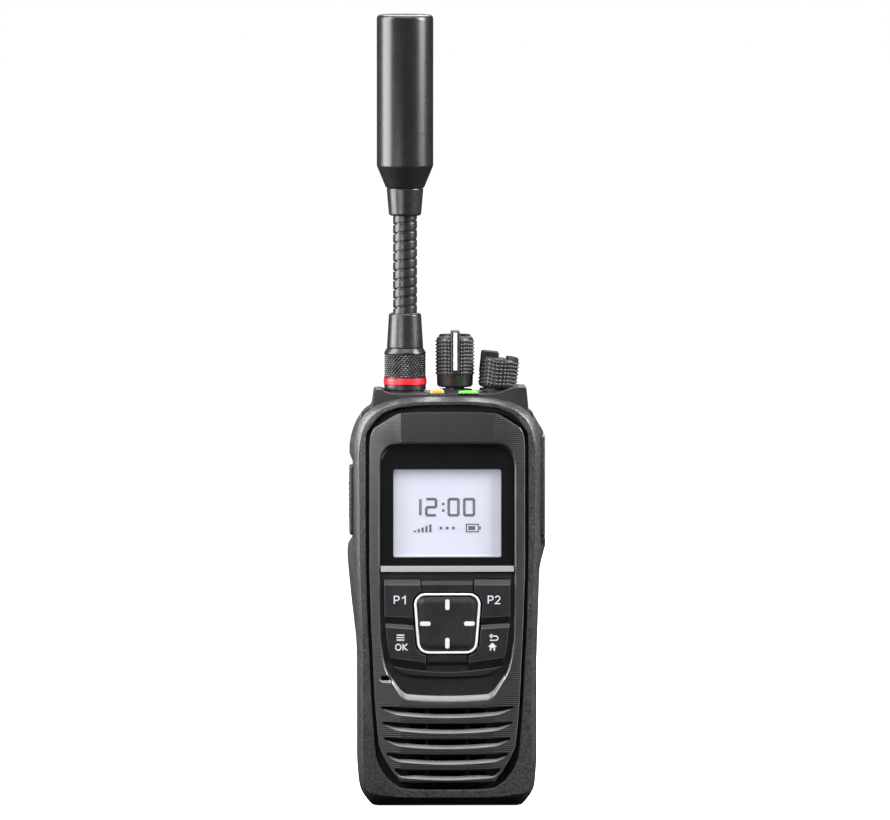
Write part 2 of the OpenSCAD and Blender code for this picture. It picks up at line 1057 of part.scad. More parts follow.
module radome() {
  color("#29292c")
    at_antenna()
      rotate_extrude()
        polygon([
          [radome_r - 1, tube_z], [radome_r, tube_z], [radome_r, top_z - 2],
          [radome_r - 0.6, top_z - 0.6], [radome_r - 2, top_z], [0, top_z],
          [0, top_z - 1.5], [radome_r - 1, top_z - 1.5]
        ]);
}

module helix_element() {
  color("#c07a3a")
    at_antenna()
      translate([0, 0, tube_z + 2.1]) {
        cylinder(h = 1.2, r = 7.4);
        difference() {
          cylinder(h = 42, r = 6);
          translate([0, 0, 1.2])
            cylinder(h = 50, r = 5);
        }
        // Four strips that wind half a turn round the tube, in short steps
        for (turn = [0:90:270])
          for (i = [0:helix_steps - 1])
            rotate([0, 0, turn + 180 * i / helix_steps])
              translate([5.6, -1, helix_step_h * i])
                cube([0.8, 2, helix_step_h]);
      }
}

module battery_outline(grow) {
  offset(delta = grow)
    polygon([
      [-23.6, 1.2], [23.6, 1.2], [26, 4], [battery_half, 8], [battery_half, battery_top],
      [-battery_half, battery_top], [-battery_half, 8], [-26, 4]
    ]);
}

module battery_case() {
  color("#303034")
    difference() {
      intersection() {
        slab(battery_y, back_y)
          battery_outline(0);
        plan_block();
        profile_block();
      }
      intersection() {
        slab(battery_y + 1.5, back_y - 3)
          battery_outline(-1.6);
        block([-40, 40], [0, 20], [17, 120]);
      }
      // Recess of the latch, and the way of its tongue
      block([-10.4, 10.4], [14.2, 20], [3.8, 15.6]);
      block([-6.4, 6.4], [battery_y - 1, 15], [5.2, 10.4]);
      for (i = [-2:2])
        block([i * 4 - 1.25, i * 4 + 1.25], [battery_y - 1, battery_y + 1], [12.8, 17.05]);
    }
}

module battery_cells() {
  color("#2f5f9e")
    for (side = [-1, 1])
      block([side * 12.3 - 11.8, side * 12.3 + 11.8], [8.4, 13.1], [19, 108]);
}

module battery_contacts() {
  color("#d6a93c")
    for (i = [-2:2])
      block([i * 4 - 1.2, i * 4 + 1.2], [battery_y, battery_y + 1], [12.85, 17]);
}

module battery_latch() {
  color("#26262a")
    difference() {
      union() {
        block([-10, 10], [14.5, back_y - 0.2], [6.6, 15.2]);
        block([-6, 6], [5.2, 14.8], [8, 10]);
      }
      for (i = [0:3])
        block([-8, 8], [back_y - 0.7, 20], [8 + 1.8 * i, 8.9 + 1.8 * i]);
    }
}

front_case();
front_panel();
rear_chassis();
case_gasket();
window_lens();
display_trim();
lower_trim();
lcd_module();
keypad_frame();
keypad_mat();
speaker();
speaker_mesh();
microphone();
main_board();
rf_shield();
satellite_modem();
gps_patch();
battery_terminals();
antenna_connector();
selector_switch();
volume_control();
knob_seals();
status_light();
accessory_jack();
ptt_switch();
case_screws();
upper_left_key();
upper_right_key();
menu_key();
back_key();
pad_carrier();
four_way_pad();
pad_rim();
emergency_button();
ptt_button();
jack_cover();
jack_screw();
selector_knob();
selector_inlay();
selector_shaft();
volume_knob();
volume_inlay();
volume_shaft();
antenna_sleeve();
marker_ring();
antenna_plug();
lower_ferrule();
neck_link_1();
neck_link_2();
neck_link_3();
neck_link_4();
neck_link_5();
upper_ferrule();
radome_base();
radome();
helix_element();
battery_case();
battery_cells();
battery_contacts();
battery_latch();
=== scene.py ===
"""Satellite telephone with a gooseneck antenna: the detailed pieces that ride on its CAD bodies.

Sizes are in millimetres until make() turns a mesh into a piece. +Z is up, the front faces -Y.
"""
import json
import math

import bmesh
import bpy
from mathutils import Matrix, Vector


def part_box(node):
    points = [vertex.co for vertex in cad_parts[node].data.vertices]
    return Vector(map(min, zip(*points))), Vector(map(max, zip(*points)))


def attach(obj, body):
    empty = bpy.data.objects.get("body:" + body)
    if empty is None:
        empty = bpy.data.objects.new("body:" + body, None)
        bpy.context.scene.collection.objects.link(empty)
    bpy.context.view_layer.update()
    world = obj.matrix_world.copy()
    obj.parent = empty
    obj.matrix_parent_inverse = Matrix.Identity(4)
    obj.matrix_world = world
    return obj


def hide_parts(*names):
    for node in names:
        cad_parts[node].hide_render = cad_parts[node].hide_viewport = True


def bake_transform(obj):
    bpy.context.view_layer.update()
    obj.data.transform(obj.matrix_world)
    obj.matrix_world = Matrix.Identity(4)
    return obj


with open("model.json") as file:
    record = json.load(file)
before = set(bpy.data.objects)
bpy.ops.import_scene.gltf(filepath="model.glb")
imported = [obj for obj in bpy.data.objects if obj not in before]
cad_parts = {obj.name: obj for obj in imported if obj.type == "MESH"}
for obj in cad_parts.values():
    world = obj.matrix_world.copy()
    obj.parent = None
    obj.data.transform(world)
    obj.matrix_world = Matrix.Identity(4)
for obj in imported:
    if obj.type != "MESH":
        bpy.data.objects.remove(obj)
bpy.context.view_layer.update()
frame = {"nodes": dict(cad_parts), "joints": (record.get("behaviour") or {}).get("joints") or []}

MM = 0.001
NODES = frame["nodes"]
JOINTS = {joint["name"]: joint for joint in frame["joints"]}


def span(node):
    """Lowest and highest corner of a CAD node in millimetres."""
    low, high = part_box(node)
    return low / MM, high / MM


# ---------------------------------------------------------------- lines and loops

FACET_X = 14.95
SLOPE = math.tan(math.radians(11))


def drop(x):
    """How far the front slopes back at x."""
    return max(0.0, abs(x) - FACET_X) * SLOPE


def between(a, b, t):
    return tuple(u + (v - u) * t for u, v in zip(a, b))


def soft(points, reach, closed=False, steps=4):
    """Rounds each corner of a line with a curve that starts reach before it."""
    line = []
    count = len(points)
    for i, corner in enumerate(points):
        if not closed and i in (0, count - 1):
            line.append(tuple(corner))
            continue
        before, after = points[i - 1], points[(i + 1) % count]
        start = between(corner, before, min(reach / math.dist(corner, before), 0.5))
        end = between(corner, after, min(reach / math.dist(corner, after), 0.5))
        for k in range(steps + 1):
            t = k / steps
            line.append(between(between(start, corner, t), between(corner, end, t), t))
    kept = [line[0]]
    for point in line[1:]:
        if math.dist(point, kept[-1]) > 1e-4:
            kept.append(point)
    if closed and math.dist(kept[0], kept[-1]) < 1e-4:
        kept.pop()
    return kept


def split(line, axis, value):
    """Cuts a line where a coordinate first crosses a value."""
    for i in range(len(line) - 1):
        a, b = line[i], line[i + 1]
        if (a[axis] - value) * (b[axis] - value) <= 0 and a[axis] != b[axis]:
            cut = between(a, b, (value - a[axis]) / (b[axis] - a[axis]))
            return line[: i + 1] + [cut], [cut] + line[i + 1 :]
    raise ValueError(f"the line doesn't cross {value}")


def spread(line, count):
    """Points at equal distances along a line, without its end."""
    lengths = [0.0]
    for a, b in zip(line, line[1:]):
        lengths.append(lengths[-1] + math.dist(a, b))
    points, i = [], 0
    for k in range(count):
        goal = lengths[-1] * k / count
        while lengths[i + 1] < goal - 1e-9:
            i += 1
        step = lengths[i + 1] - lengths[i]
        points.append(between(line[i], line[i + 1], (goal - lengths[i]) / step if step else 0))
    return points


def at_heights(line, heights):
    """Points of a rising line at some heights, straight above or below its ends where it stops."""
    points = []
    for z in heights:
        for a, b in zip(line, line[1:]):
            if a[1] <= z <= b[1] and a[1] != b[1]:
                points.append(between(a, b, (z - a[1]) / (b[1] - a[1])))
                break
        else:
            points.append((line[-1][0], z) if z > line[-1][1] - 1e-6 else (line[0][0], z))
    return points


# Heights of the rows down the sides of the case, close together at the steps of the sides
CASE_ROWS = [20, 27, 34, 41, 47, 53, 60, 66, 72, 76, 79, 82, 83.4, 83.7, 84.5, 86, 88, 92, 96,
             100, 104, 108, 110.6, 111.8, 113, 115.7, 117.5, 119.1, 119.4]
CASE_TOP = 120


def to_middle(half, reach):
    """Softened right half of an outline, carried to the middle at both ends."""
    return soft([(0, half[0][1])] + half + [(0, half[-1][1])], reach)


def half_points(half, reach, rows, top, counts=(5, 20, 18, 5)):
    """Right half of an outline from its bottom middle to its top middle, at places that match."""
    line = to_middle(half, reach)
    foot, line = split(line, 0, FACET_X)
    corner, line = split(line, 1, rows[0])
    side, line = split(line, 1, top)
    shoulder, crown = split(line, 0, FACET_X)
    return (
        spread(foot, counts[0])
        + spread(corner, counts[1])
        + at_heights(side, rows)
        + spread(shoulder, counts[2])
        + spread(crown, counts[3])
        + [crown[-1]]
    )


def whole(right, left=None):
    """Closed loop, anticlockwise as seen from the front, from its right and left halves."""
    return right + [(-x, z) for x, z in reversed((left or right)[1:-1])]


def mirrored(right):
    """Closed outline from its right half, which doesn't reach the middle."""
    return right + [(-x, z) for x, z in reversed(right)]


def case_loop(right, left=None, reach=3.0):
    return whole(
        half_points(right, reach, CASE_ROWS, CASE_TOP),
        half_points(left, reach, CASE_ROWS, CASE_TOP) if left else None,
    )


def grow(loop, amount):
    """Moves an anticlockwise loop outwards."""
    grown = []
    for i, point in enumerate(loop):
        before, after = loop[i - 1], loop[(i + 1) % len(loop)]
        along = Vector((after[0] - before[0], after[1] - before[1])).normalized()
        grown.append((point[0] + along.y * amount, point[1] - along.x * amount))
    return grown


def mix(a, b, t):
    return [between(p, q, t) for p, q in zip(a, b)]


def raised(loop, y, follow=0.0):
    """Places a loop at depth y; follow is how much of the front's slope it takes."""
    return [(x, y + follow * drop(x), z) for x, z in loop]


def oval(x, z, rx, rz, count=24):
    turn = 2 * math.pi / count
    return [(x + rx * math.cos(i * turn), z + rz * math.sin(i * turn)) for i in range(count)]


def rectangle(x0, z0, x1, z1, corner=0.0, steps=3):
    points = [(x0, z0), (x1, z0), (x1, z1), (x0, z1)]
    return soft(points, corner, closed=True, steps=steps) if corner else points


# ---------------------------------------------------------------- meshes


def skin(bm, lower, upper):
    """Faces between two rings of corners; a ring of one corner is a pole."""
    count = max(len(lower), len(upper))
    if count == 1:
        return
    for i in range(count):
        j = (i + 1) % count
        if len(lower) == 1:
            bm.faces.new((lower[0], upper[j], upper[i]))
        elif len(upper) == 1:
            bm.faces.new((lower[i], lower[j], upper[0]))
        else:
            bm.faces.new((lower[i], lower[j], upper[j], upper[i]))


def open_skin(bm, *rings):
    """A skin over rings of points, open at its ends. Gives the corners of each ring."""
    corners = [[bm.verts.new(point) for point in ring] for ring in rings]
    for lower, upper in zip(corners, corners[1:]):
        skin(bm, lower, upper)
    return corners


def loft(rings, bm=None, closed=False):
    """A skin over rings of points. Its ends are capped, or joined to each other."""
    bm = bm or bmesh.new()
    corners = open_skin(bm, *rings)
    if closed:
        skin(bm, corners[-1], corners[0])
        return bm
    for ring in (corners[0], corners[-1]):
        if len(ring) > 2:
            bm.faces.new(ring)
    return bm


def fill(bm, *rings):
    """Fills a flat ring of corners, leaving the other rings as holes."""
    edges = []
    for ring in rings:
        for a, b in zip(ring, ring[1:] + ring[:1]):
            edges.append(bm.edges.get((a, b)) or bm.edges.new((a, b)))
    bmesh.ops.triangle_fill(bm, use_beauty=True, edges=edges)


# Ways to place an outline (u, v) at depth w
def facing_front(u, v, w):
    return (u, w, v)


def facing_up(u, v, w):
    return (u, v, w)


def facing_side(u, v, w):
    return (w, u, v)


def plate(outline, back, face, edge=0.3, steps=3, to=facing_front, crown=0.0, back_edge=0.0):
    """A solid with a rounded edge round its face, which may be a little crowned."""
    way = 1 if face > back else -1
    rings = []
    if back_edge:
        rings.append((grow(outline, -back_edge), back))
        rings.append((outline, back + way * back_edge))
    else:
        rings.append((outline, back))
    for k in range(steps + 1):
        a = math.radians(90 * k / steps)
        inset = edge * (1 - math.cos(a))
        rings.append((grow(outline, -inset), face - way * (crown + edge * (1 - math.sin(a)))))
    if crown:
        middle = [sum(p[i] for p in outline) / len(outline) for i in (0, 1)]
        rim = rings[-1][0]
        for share, height in ((0.25, 0.5), (0.5, 0.8), (0.75, 0.95)):
            inner = [between(p, middle, share) for p in rim]
            rings.append((inner, face - way * crown * (1 - height)))
    return loft([[to(u, v, w) for u, v in loop] for loop, w in rings])


def box(x, y, z):
    return loft([[(x[0], y[0], h), (x[1], y[0], h), (x[1], y[1], h), (x[0], y[1], h)] for h in z])


def lathe(profile, turn=72, shape=None, closed=False):
    """A body of revolution round Z. shape(angle, height) is added to the radius."""
    rings = []
    for r, z in profile:
        if r < 1e-6:
            rings.append([(0, 0, z)])
            continue
        ring = []
        for i in range(turn):
            a = 2 * math.pi * i / turn
            wide = r + (shape(a, z) if shape else 0)
            ring.append((wide * math.cos(a), wide * math.sin(a), z))
        rings.append(ring)
    return loft(rings, closed=closed)


def rod(start, end, radius, count=32):
    """A cylinder between two points."""
    start, end = Vector(start), Vector(end)
    turn = (end - start).to_track_quat("Z", "Y").to_matrix().to_4x4()
    bm = loft([[(x, y, z) for x, y in oval(0, 0, radius, radius, count)]
               for z in (0, (end - start).length)])
    bm.transform(Matrix.Translation(start) @ turn)
    return bm


def joined(*parts):
    """One mesh of several, which are used up."""
    whole_mesh = bmesh.new()
    for part in parts:
        mesh = bpy.data.meshes.new("part")
        part.to_mesh(mesh)
        part.free()
        whole_mesh.from_mesh(mesh)
        bpy.data.meshes.remove(mesh)
    return whole_mesh


def combine(bm, other, operation="DIFFERENCE"):
    """Boolean of two solids; both are used up."""
    things = []
    for source in (bm, other):
        bmesh.ops.recalc_face_normals(source, faces=source.faces)
        mesh = bpy.data.meshes.new("solid")
        source.to_mesh(mesh)
        source.free()
        thing = bpy.data.objects.new("solid", mesh)
        bpy.context.scene.collection.objects.link(thing)
        things.append(thing)
    cut = things[0].modifiers.new("cut", "BOOLEAN")
    cut.object = things[1]
    cut.operation = operation
    cut.solver = "EXACT"
    cut.use_self = True
    graph = bpy.context.evaluated_depsgraph_get()
    result = bmesh.new()
    result.from_object(things[0], graph)
    for thing in things:
        mesh = thing.data
        bpy.data.objects.remove(thing)
        bpy.data.meshes.remove(mesh)
    return result


def union(bm, *others):
    for other in others:
        bm = combine(bm, other, "UNION")
    return bm


def without(bm, *cutters):
    for cutter in cutters:
        bm = combine(bm, cutter)
    return bm


def make(name, bm, paint, body, slot, replaces=(), sharp=32, bevel=0.0, weighted=True,
         crease=False, trim=-1):
    """Turns a mesh in millimetres into a piece that rides on a body.

    Edges above the angle sharp are hard, or rounded where a bevel is given, with paint number trim, which
    the keys and their frame use for a painted highlight on the rounded edges.
    A crease keeps the two lines hard where the side facets begin.
    """
    bmesh.ops.remove_doubles(bm, verts=bm.verts, dist=1e-4)
    bmesh.ops.dissolve_degenerate(bm, dist=1e-4, edges=bm.edges)
    bmesh.ops.recalc_face_normals(bm, faces=bm.faces)
    for face in bm.faces:
        face.smooth = True
    for edge in bm.edges:
        at_crease = crease and all(abs(abs(v.co.x) - FACET_X) < 0.02 for v in edge.verts)
        edge.smooth = edge.calc_face_angle(0) < math.radians(sharp) and not at_crease
    bm.transform(Matrix.Scale(MM, 4))
    mesh = bpy.data.meshes.new(name)
    bm.to_mesh(mesh)
    bm.free()
    piece = bpy.data.objects.new(name, mesh)
    bpy.context.scene.collection.objects.link(piece)
    for material in paint if isinstance(paint, (list, tuple)) else [paint]:
        mesh.materials.append(material)
    if bevel:
        rounding = piece.modifiers.new("edges", "BEVEL")
        rounding.width = bevel * MM
        rounding.material = trim
        rounding.segments = 2
        rounding.limit_method = "ANGLE"
        rounding.angle_limit = math.radians(sharp)
        rounding.harden_normals = True
        rounding.use_clamp_overlap = True
    elif weighted:
        normals = piece.modifiers.new("normals", "WEIGHTED_NORMAL")
        normals.keep_sharp = True
    if body:
        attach(piece, body)
    if replaces:
        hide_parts(*replaces)
    return piece


# ---------------------------------------------------------------- materials


def add(tree, kind, sockets=None, **settings):
    """A node with its settings, and its sockets set or linked."""
    made = tree.nodes.new(kind)
    for key, value in settings.items():
        setattr(made, key, value)
    for key, value in (sockets or {}).items():
        if isinstance(value, bpy.types.NodeSocket):
            tree.links.new(value, made.inputs[key])
        else:
            made.inputs[key].default_value = value
    return made


def math_node(tree, operation, a, b=0.0):
    return add(tree, "ShaderNodeMath", {0: a, 1: b}, operation=operation).outputs[0]


def millimetres(tree):
    """Place in the piece, in millimetres."""
    place = add(tree, "ShaderNodeTexCoord").outputs["Object"]
    sockets = {0: place, 1: (1000.0,) * 3}
    return add(tree, "ShaderNodeVectorMath", sockets, operation="MULTIPLY").outputs[0]


def noise(tree, place, scale, detail=2.0, rough=0.5):
    return add(
        tree, "ShaderNodeTexNoise",
        {"Vector": place, "Scale": scale, "Detail": detail, "Roughness": rough},
    ).outputs["Fac"]


def ranged(tree, value, low, high, out_low, out_high):
    return add(
        tree, "ShaderNodeMapRange",
        {"Value": value, "From Min": low, "From Max": high, "To Min": out_low, "To Max": out_high},
    ).outputs[0]


def blend_colour(tree, factor, a, b):
    return add(tree, "ShaderNodeMix", {0: factor, 6: a, 7: b}, data_type="RGBA").outputs[2]


def finish(name, dark, light, rough=(0.4, 0.5), grain=2.5, depth=0.02, patch=0.12, pattern=None,
           pattern_depth=0.0, scuffs=0.0, fleck=0.4, **shader):
    """A material: patchy colour, uneven gloss, a grain and an optional moulded pattern."""
    material = bpy.data.materials.new(name)
    material.use_nodes = True
    tree = material.node_tree
    bsdf = tree.nodes["Principled BSDF"]
    place = millimetres(tree)
    cloud = noise(tree, place, patch, 3.0)
    speck = noise(tree, place, grain, 2.0, 0.6)
    clouded = math_node(tree, "MULTIPLY", cloud, 1 - fleck)
    flecked = math_node(tree, "MULTIPLY", speck, fleck)
    shade = ranged(tree, math_node(tree, "ADD", clouded, flecked), 0.35, 0.65, 0.0, 1.0)
    colour = blend_colour(tree, shade, (*dark, 1), (*light, 1))
    if scuffs:
        wear = ranged(tree, noise(tree, place, 0.55, 6.0, 0.75), 0.62, 0.75, 0.0, scuffs)
        worn = [min(1, c * 2.2 + 0.04) for c in light]
        colour = blend_colour(tree, wear, colour, (*worn, 1))
    tree.links.new(colour, bsdf.inputs["Base Color"])
    gloss = ranged(tree, noise(tree, place, patch * 4, 4.0), 0.3, 0.7, *rough)
    tree.links.new(gloss, bsdf.inputs["Roughness"])
    bump = add(tree, "ShaderNodeBump", {"Height": speck, "Strength": 1.0, "Distance": depth * MM})
    if pattern:
        bump = add(tree, "ShaderNodeBump", {
            "Height": pattern(tree, place), "Strength": 1.0, "Distance": pattern_depth * MM,
            "Normal": bump.outputs[0],
        })
    tree.links.new(bump.outputs[0], bsdf.inputs["Normal"])
    for key, value in shader.items():
        bsdf.inputs[key.replace("_", " ")].default_value = value
    return material


LINE_PITCH = 0.62
DOT_PITCH = 1.1


def wave(tree, value, pitch):
    return math_node(tree, "SINE", math_node(tree, "MULTIPLY", value, 2 * math.pi / pitch))


def panel_pattern(tree, place):
    """Fine dots on the middle facet and fine lines on the side facets."""
    apart = add(tree, "ShaderNodeSeparateXYZ", {0: place})
    x, z = apart.outputs["X"], apart.outputs["Z"]
    rising = wave(tree, math_node(tree, "ADD", x, z), DOT_PITCH)
    falling = wave(tree, math_node(tree, "SUBTRACT", x, z), DOT_PITCH)
    side = math_node(tree, "GREATER_THAN", math_node(tree, "ABSOLUTE", x), FACET_X)
    middle = math_node(tree, "SUBTRACT", 1.0, side)
    lines = math_node(tree, "MULTIPLY", side, wave(tree, z, LINE_PITCH))
    dots = math_node(tree, "MULTIPLY", middle, math_node(tree, "MULTIPLY", rising, falling))
    return math_node(tree, "ADD", lines, dots)


CASE = finish("case", (0.012, 0.012, 0.013), (0.056, 0.056, 0.060), (0.38, 0.46), 1.3, 0.18,
              scuffs=0.05, fleck=0.8, Specular_IOR_Level=0.9)
PANEL = finish("panel", (0.008, 0.008, 0.009), (0.013, 0.013, 0.0145), (0.38, 0.43), 3.5, 0.02,
               pattern=panel_pattern, pattern_depth=0.045, Specular_IOR_Level=0.7,
               Coat_Weight=1.0, Coat_Roughness=0.33, Coat_IOR=1.8)
# Light grey copy of the near-black panel for the sloped lips under the speaker slots: a painted highlight.
LIP_HIGHLIGHT = finish("slot_lip_painted_highlight", (0.15, 0.15, 0.155), (0.20, 0.20, 0.21), (0.34, 0.4), 3.5, 0.01,
             Specular_IOR_Level=1.0)
# Lighter grey for the rounded edges of the keys and of their frame: a painted highlight along the bevels.
KEY_EDGE_HIGHLIGHT = finish("key_edge_painted_highlight", (0.10, 0.10, 0.105), (0.13, 0.13, 0.14), (0.4, 0.46), 4.0, 0.005)
HOLLOW = finish("recess", (0.015, 0.015, 0.017), (0.022, 0.022, 0.025), (0.34, 0.42), 4.0, 0.012)
CHASSIS = finish("chassis", (0.020, 0.020, 0.023), (0.034, 0.034, 0.037), (0.38, 0.46), 3.0, 0.03,
                 scuffs=0.04)
RUBBER = finish("rubber", (0.012, 0.012, 0.013), (0.022, 0.022, 0.024), (0.6, 0.75), 3.0, 0.02)
GLASS = finish("window_glass", (0.0085, 0.0091, 0.0086), (0.0105, 0.0112, 0.0106), (0.04, 0.07),
               0.5, 0.0005, Coat_Weight=0.4, Coat_Roughness=0.03)
PANE = finish("window_pane", (0.6, 0.62, 0.62), (0.66, 0.68, 0.68), (0.02, 0.04), 0.5, 0.0005, Alpha=0.06)
SILVER = finish("satin_silver", (0.53, 0.53, 0.54), (0.57, 0.57, 0.58), (0.34, 0.40), 5.0, 0.003,
                Metallic=0.25)
# Darker copy of the satin silver for the arc bar: painted shade on a bar that faces up into the light.
SHADED_SILVER = finish("silver_painted_shade", (0.24, 0.24, 0.247), (0.29, 0.29, 0.297), (0.42, 0.5), 5.0, 0.003,
                 Metallic=0.2)
SCREEN = finish("display", (0.60, 0.615, 0.72), (0.63, 0.645, 0.75), (0.35, 0.45), 3.0, 0.001,
                Emission_Color=(0.60, 0.62, 0.74, 1), Emission_Strength=0.25)
SCREEN_INK = finish("display_ink", (0.085, 0.09, 0.13), (0.10, 0.105, 0.15), (0.4, 0.5), 3.0, 0.001)
BEZEL = finish("display_bezel", (0.02, 0.02, 0.021), (0.03, 0.03, 0.032), (0.4, 0.5), 3.0, 0.01)
KEY = finish("key_rubber", (0.019, 0.019, 0.022), (0.029, 0.029, 0.033), (0.34, 0.42), 4.0, 0.012,
             scuffs=0.03)
KEY_FRAME = finish("key_frame", (0.012, 0.012, 0.014), (0.020, 0.020, 0.022), (0.36, 0.46), 4.0, 0.012)
WHITE = finish("white_print", (0.80, 0.80, 0.82), (0.88, 0.88, 0.89), (0.35, 0.45), 3.0, 0.003)
GREEN = finish("status_green", (0.10, 0.50, 0.05), (0.22, 0.70, 0.11), (0.15, 0.25), 1.0, 0.002,
               Emission_Color=(0.12, 0.65, 0.06, 1), Emission_Strength=0.25)
ORANGE = finish("signal_orange", (0.78, 0.30, 0.05), (0.88, 0.40, 0.10), (0.34, 0.46), 3.0, 0.01)
KNOB = finish("knob_plastic", (0.016, 0.016, 0.018), (0.028, 0.028, 0.031), (0.28, 0.38), 4.0, 0.008)
ANTENNA = finish("antenna_black", (0.014, 0.014, 0.016), (0.024, 0.024, 0.026), (0.26, 0.34), 3.0, 0.010)
RADOME = finish("radome_plastic", (0.011, 0.011, 0.012), (0.016, 0.016, 0.018), (0.27, 0.31), 3.0, 0.010)
RED = finish("marker_red", (0.72, 0.015, 0.03), (0.85, 0.03, 0.045), (0.28, 0.38), 2.0, 0.006)
BATTERY = finish("battery_plastic", (0.026, 0.026, 0.029), (0.040, 0.040, 0.044), (0.42, 0.55), 2.4, 0.05)
SPEAKER = finish("speaker_black", (0.010, 0.010, 0.011), (0.018, 0.018, 0.020), (0.5, 0.7), 5.0, 0.03)
BOARD = finish("board_green", (0.01, 0.09, 0.035), (0.015, 0.13, 0.05), (0.35, 0.5), 1.2, 0.03)
TIN = finish("shield_tin", (0.50, 0.51, 0.52), (0.62, 0.63, 0.64), (0.28, 0.4), 2.0, 0.01, Metallic=1.0)
CERAMIC = finish("patch_ceramic", (0.62, 0.56, 0.45), (0.72, 0.66, 0.54), (0.5, 0.6), 2.0, 0.01)
GOLD = finish("gold_contact", (0.80, 0.52, 0.16), (0.92, 0.64, 0.24), (0.16, 0.28), 4.0, 0.003, Metallic=1.0)
STEEL = finish("steel", (0.46, 0.46, 0.47), (0.58, 0.58, 0.59), (0.25, 0.38), 4.0, 0.006, Metallic=1.0)
SCREW = finish("black_screw", (0.030, 0.030, 0.032), (0.055, 0.055, 0.058), (0.3, 0.42), 4.0, 0.008,
               Metallic=0.6)
COPPER = finish("copper", (0.66, 0.28, 0.14), (0.80, 0.38, 0.20), (0.25, 0.4), 2.0, 0.006, Metallic=1.0)
CELL = finish("cell_wrap", (0.03, 0.10, 0.30), (0.04, 0.14, 0.38), (0.3, 0.4), 1.0, 0.01)

# ---------------------------------------------------------------- outlines of the handset

FRONT = span("front_panel")[0].y
BACK = span("rear_chassis")[1].y
SIDE = 30.1
FLOOR_Y = span("window_lens")[0].y
LIP_DEPTH = 1.3
SPLIT_Y = span("front_case")[1].y
STEP_Y = span("rear_chassis")[0].y
STEP_Z = 125.2
DECK_Z = 132.6
# Depths at which the case rounds over to its front, of the panel's back and rim, of the floor of the
# speaker slots, and of the back of the window
FACE_START = -10.6
PANEL_BACK = -10.9
PANEL_RIM = -12.15
SLOT_FLOOR = -13.6
LENS_BACK = -13.3

CROWN = [(26, 127.4), (22.6, 129.5), (15, 131.4), (7.5, 131.9)]
FRAME = [
    (24, 0), (27.1, 3.8), (28.2, 6.4), (28.8, 14), (28.8, 47), (29.4, 66), (29.9, 80),
    (SIDE, 108), (SIDE, 116), (29.6, 120), (28.9, 122.8), (27.7, 125.4),
] + CROWN
# The sides with the parts that stand out round the push-to-talk button and the jack cover
LEFT_SIDE = FRAME[:5] + [
    (29.1, 53.4), (30.6, 66.2), (31.85, 79), (31.85, 83.9), (30, 86), (SIDE, 108),
    (30, 110.6), (31.4, 112.8), (31.2, 115.7), (30.6, 119.1), (29.5, 122.5), (27.9, 125.4),
] + CROWN
RIGHT_SIDE = FRAME[:6] + [
    (29.7, 76), (31.6, 83.2), (31.6, 83.6), (SIDE, 83.62), (SIDE, 108), (SIDE, 119.28),
    (31.4, 119.3), (30.85, 120.6), (28.96, 123.5), (27.7, 126.3),
] + CROWN
# Edge of the flat front of the case
FACE = [
    (FACET_X, 3), (26.2, 4.5), (26.9, 8), (27.1, 14), (27.1, 47), (27.6, 66), (28.1, 80),
    (28.4, 108), (28.4, 115), (27.6, 119.5), (26.6, 122.3), (25.2, 124.6), (23.4, 126.4),
    (20.6, 128.2), (FACET_X, 129.9), (7.5, 130.4),
]
# Outer edge of the groove round the panel, and the edge of the panel
GROOVE = [
    (7.5, 5.4), (14.8, 5.7), (18.4, 8.2), (20.9, 11.2), (22.8, 15.4), (23.4, 21), (24.3, 34),
    (25.6, 60), (26.1, 80), (26.1, 117), (25.9, 120.2), (23.5, 123.6), (20.9, 126.4), (16.2, 128.3),
    (7.5, 129.2),
]
PANEL_EDGE = [
    (14.8, 7.7), (17.6, 11.2), (20.2, 15.4), (21.9, 19.4), (22.5, 24), (23.3, 34), (24.5, 60),
    (25, 75), (25, 116.5), (24.7, 119.3), (23.7, 121.7), (20.05, 124.05), (16.4, 126.3),
    (FACET_X, 126.7), (7.5, 127.1),
]
# Recess of the window and keypad: its edge in the face, its floor, and the opening in the floor
RECESS_EDGE = [
    (5, 33.8), (10, 34), (14.4, 34.4), (19.75, 42.9), (20.95, 47.5), (21.85, 53.4), (22.05, 66),
    (22.15, 75), (22.15, 110), (21.7, 112.8), (20.6, 115.2), (18.6, 116.8), (15.6, 117.5),
]
RECESS = [
    (5, 35.5), (10, 35.75), (14, 36.1), (19.1, 43.2), (20.3, 47.6), (21.3, 53.4), (21.5, 66),
    (21.6, 75), (21.6, 110), (21.1, 112.6), (19.8, 114.5), (17.9, 115.7), (15.6, 116),
]
OPENING = [
    (8, 41), (15.5, 41.9), (18.9, 43.9), (20, 47.6), (20.9, 53.4), (21.1, 66), (21.2, 75.2),
    (21.45, 77), (21.45, 110), (20.95, 112.5), (19.7, 114.35), (17.85, 115.55), (15.55, 115.85),
]
RECESS_ROWS = [48, 54, 60, 66, 72, 75.5, 77.5, 84, 92, 100, 108]
RECESS_TOP = 110


def recess_loop(half, reach):
    return whole(half_points(half, reach, RECESS_ROWS, RECESS_TOP, (7, 12, 10, 5)))


case_side = case_loop(RIGHT_SIDE, LEFT_SIDE, reach=1.6)
case_front = case_loop(FRAME, reach=1.4)
face_edge = case_loop(FACE, reach=2.0)
groove = case_loop(GROOVE, reach=1.1)
panel_edge = case_loop(PANEL_EDGE, reach=0.7)

ptt_low, ptt_high = span("ptt_button")
cover_low, cover_high = span("jack_cover")
jack_low, jack_high = span("accessory_jack")
button_low, button_high = span("emergency_button")
light_low, light_high = span("status_light")
screw_low, screw_high = span("jack_screw")
screw_y = (screw_low.y + screw_high.y) / 2
screw_z = (screw_low.z + screw_high.z) / 2
HINGE_X, HINGE_Z = 30.85, 85

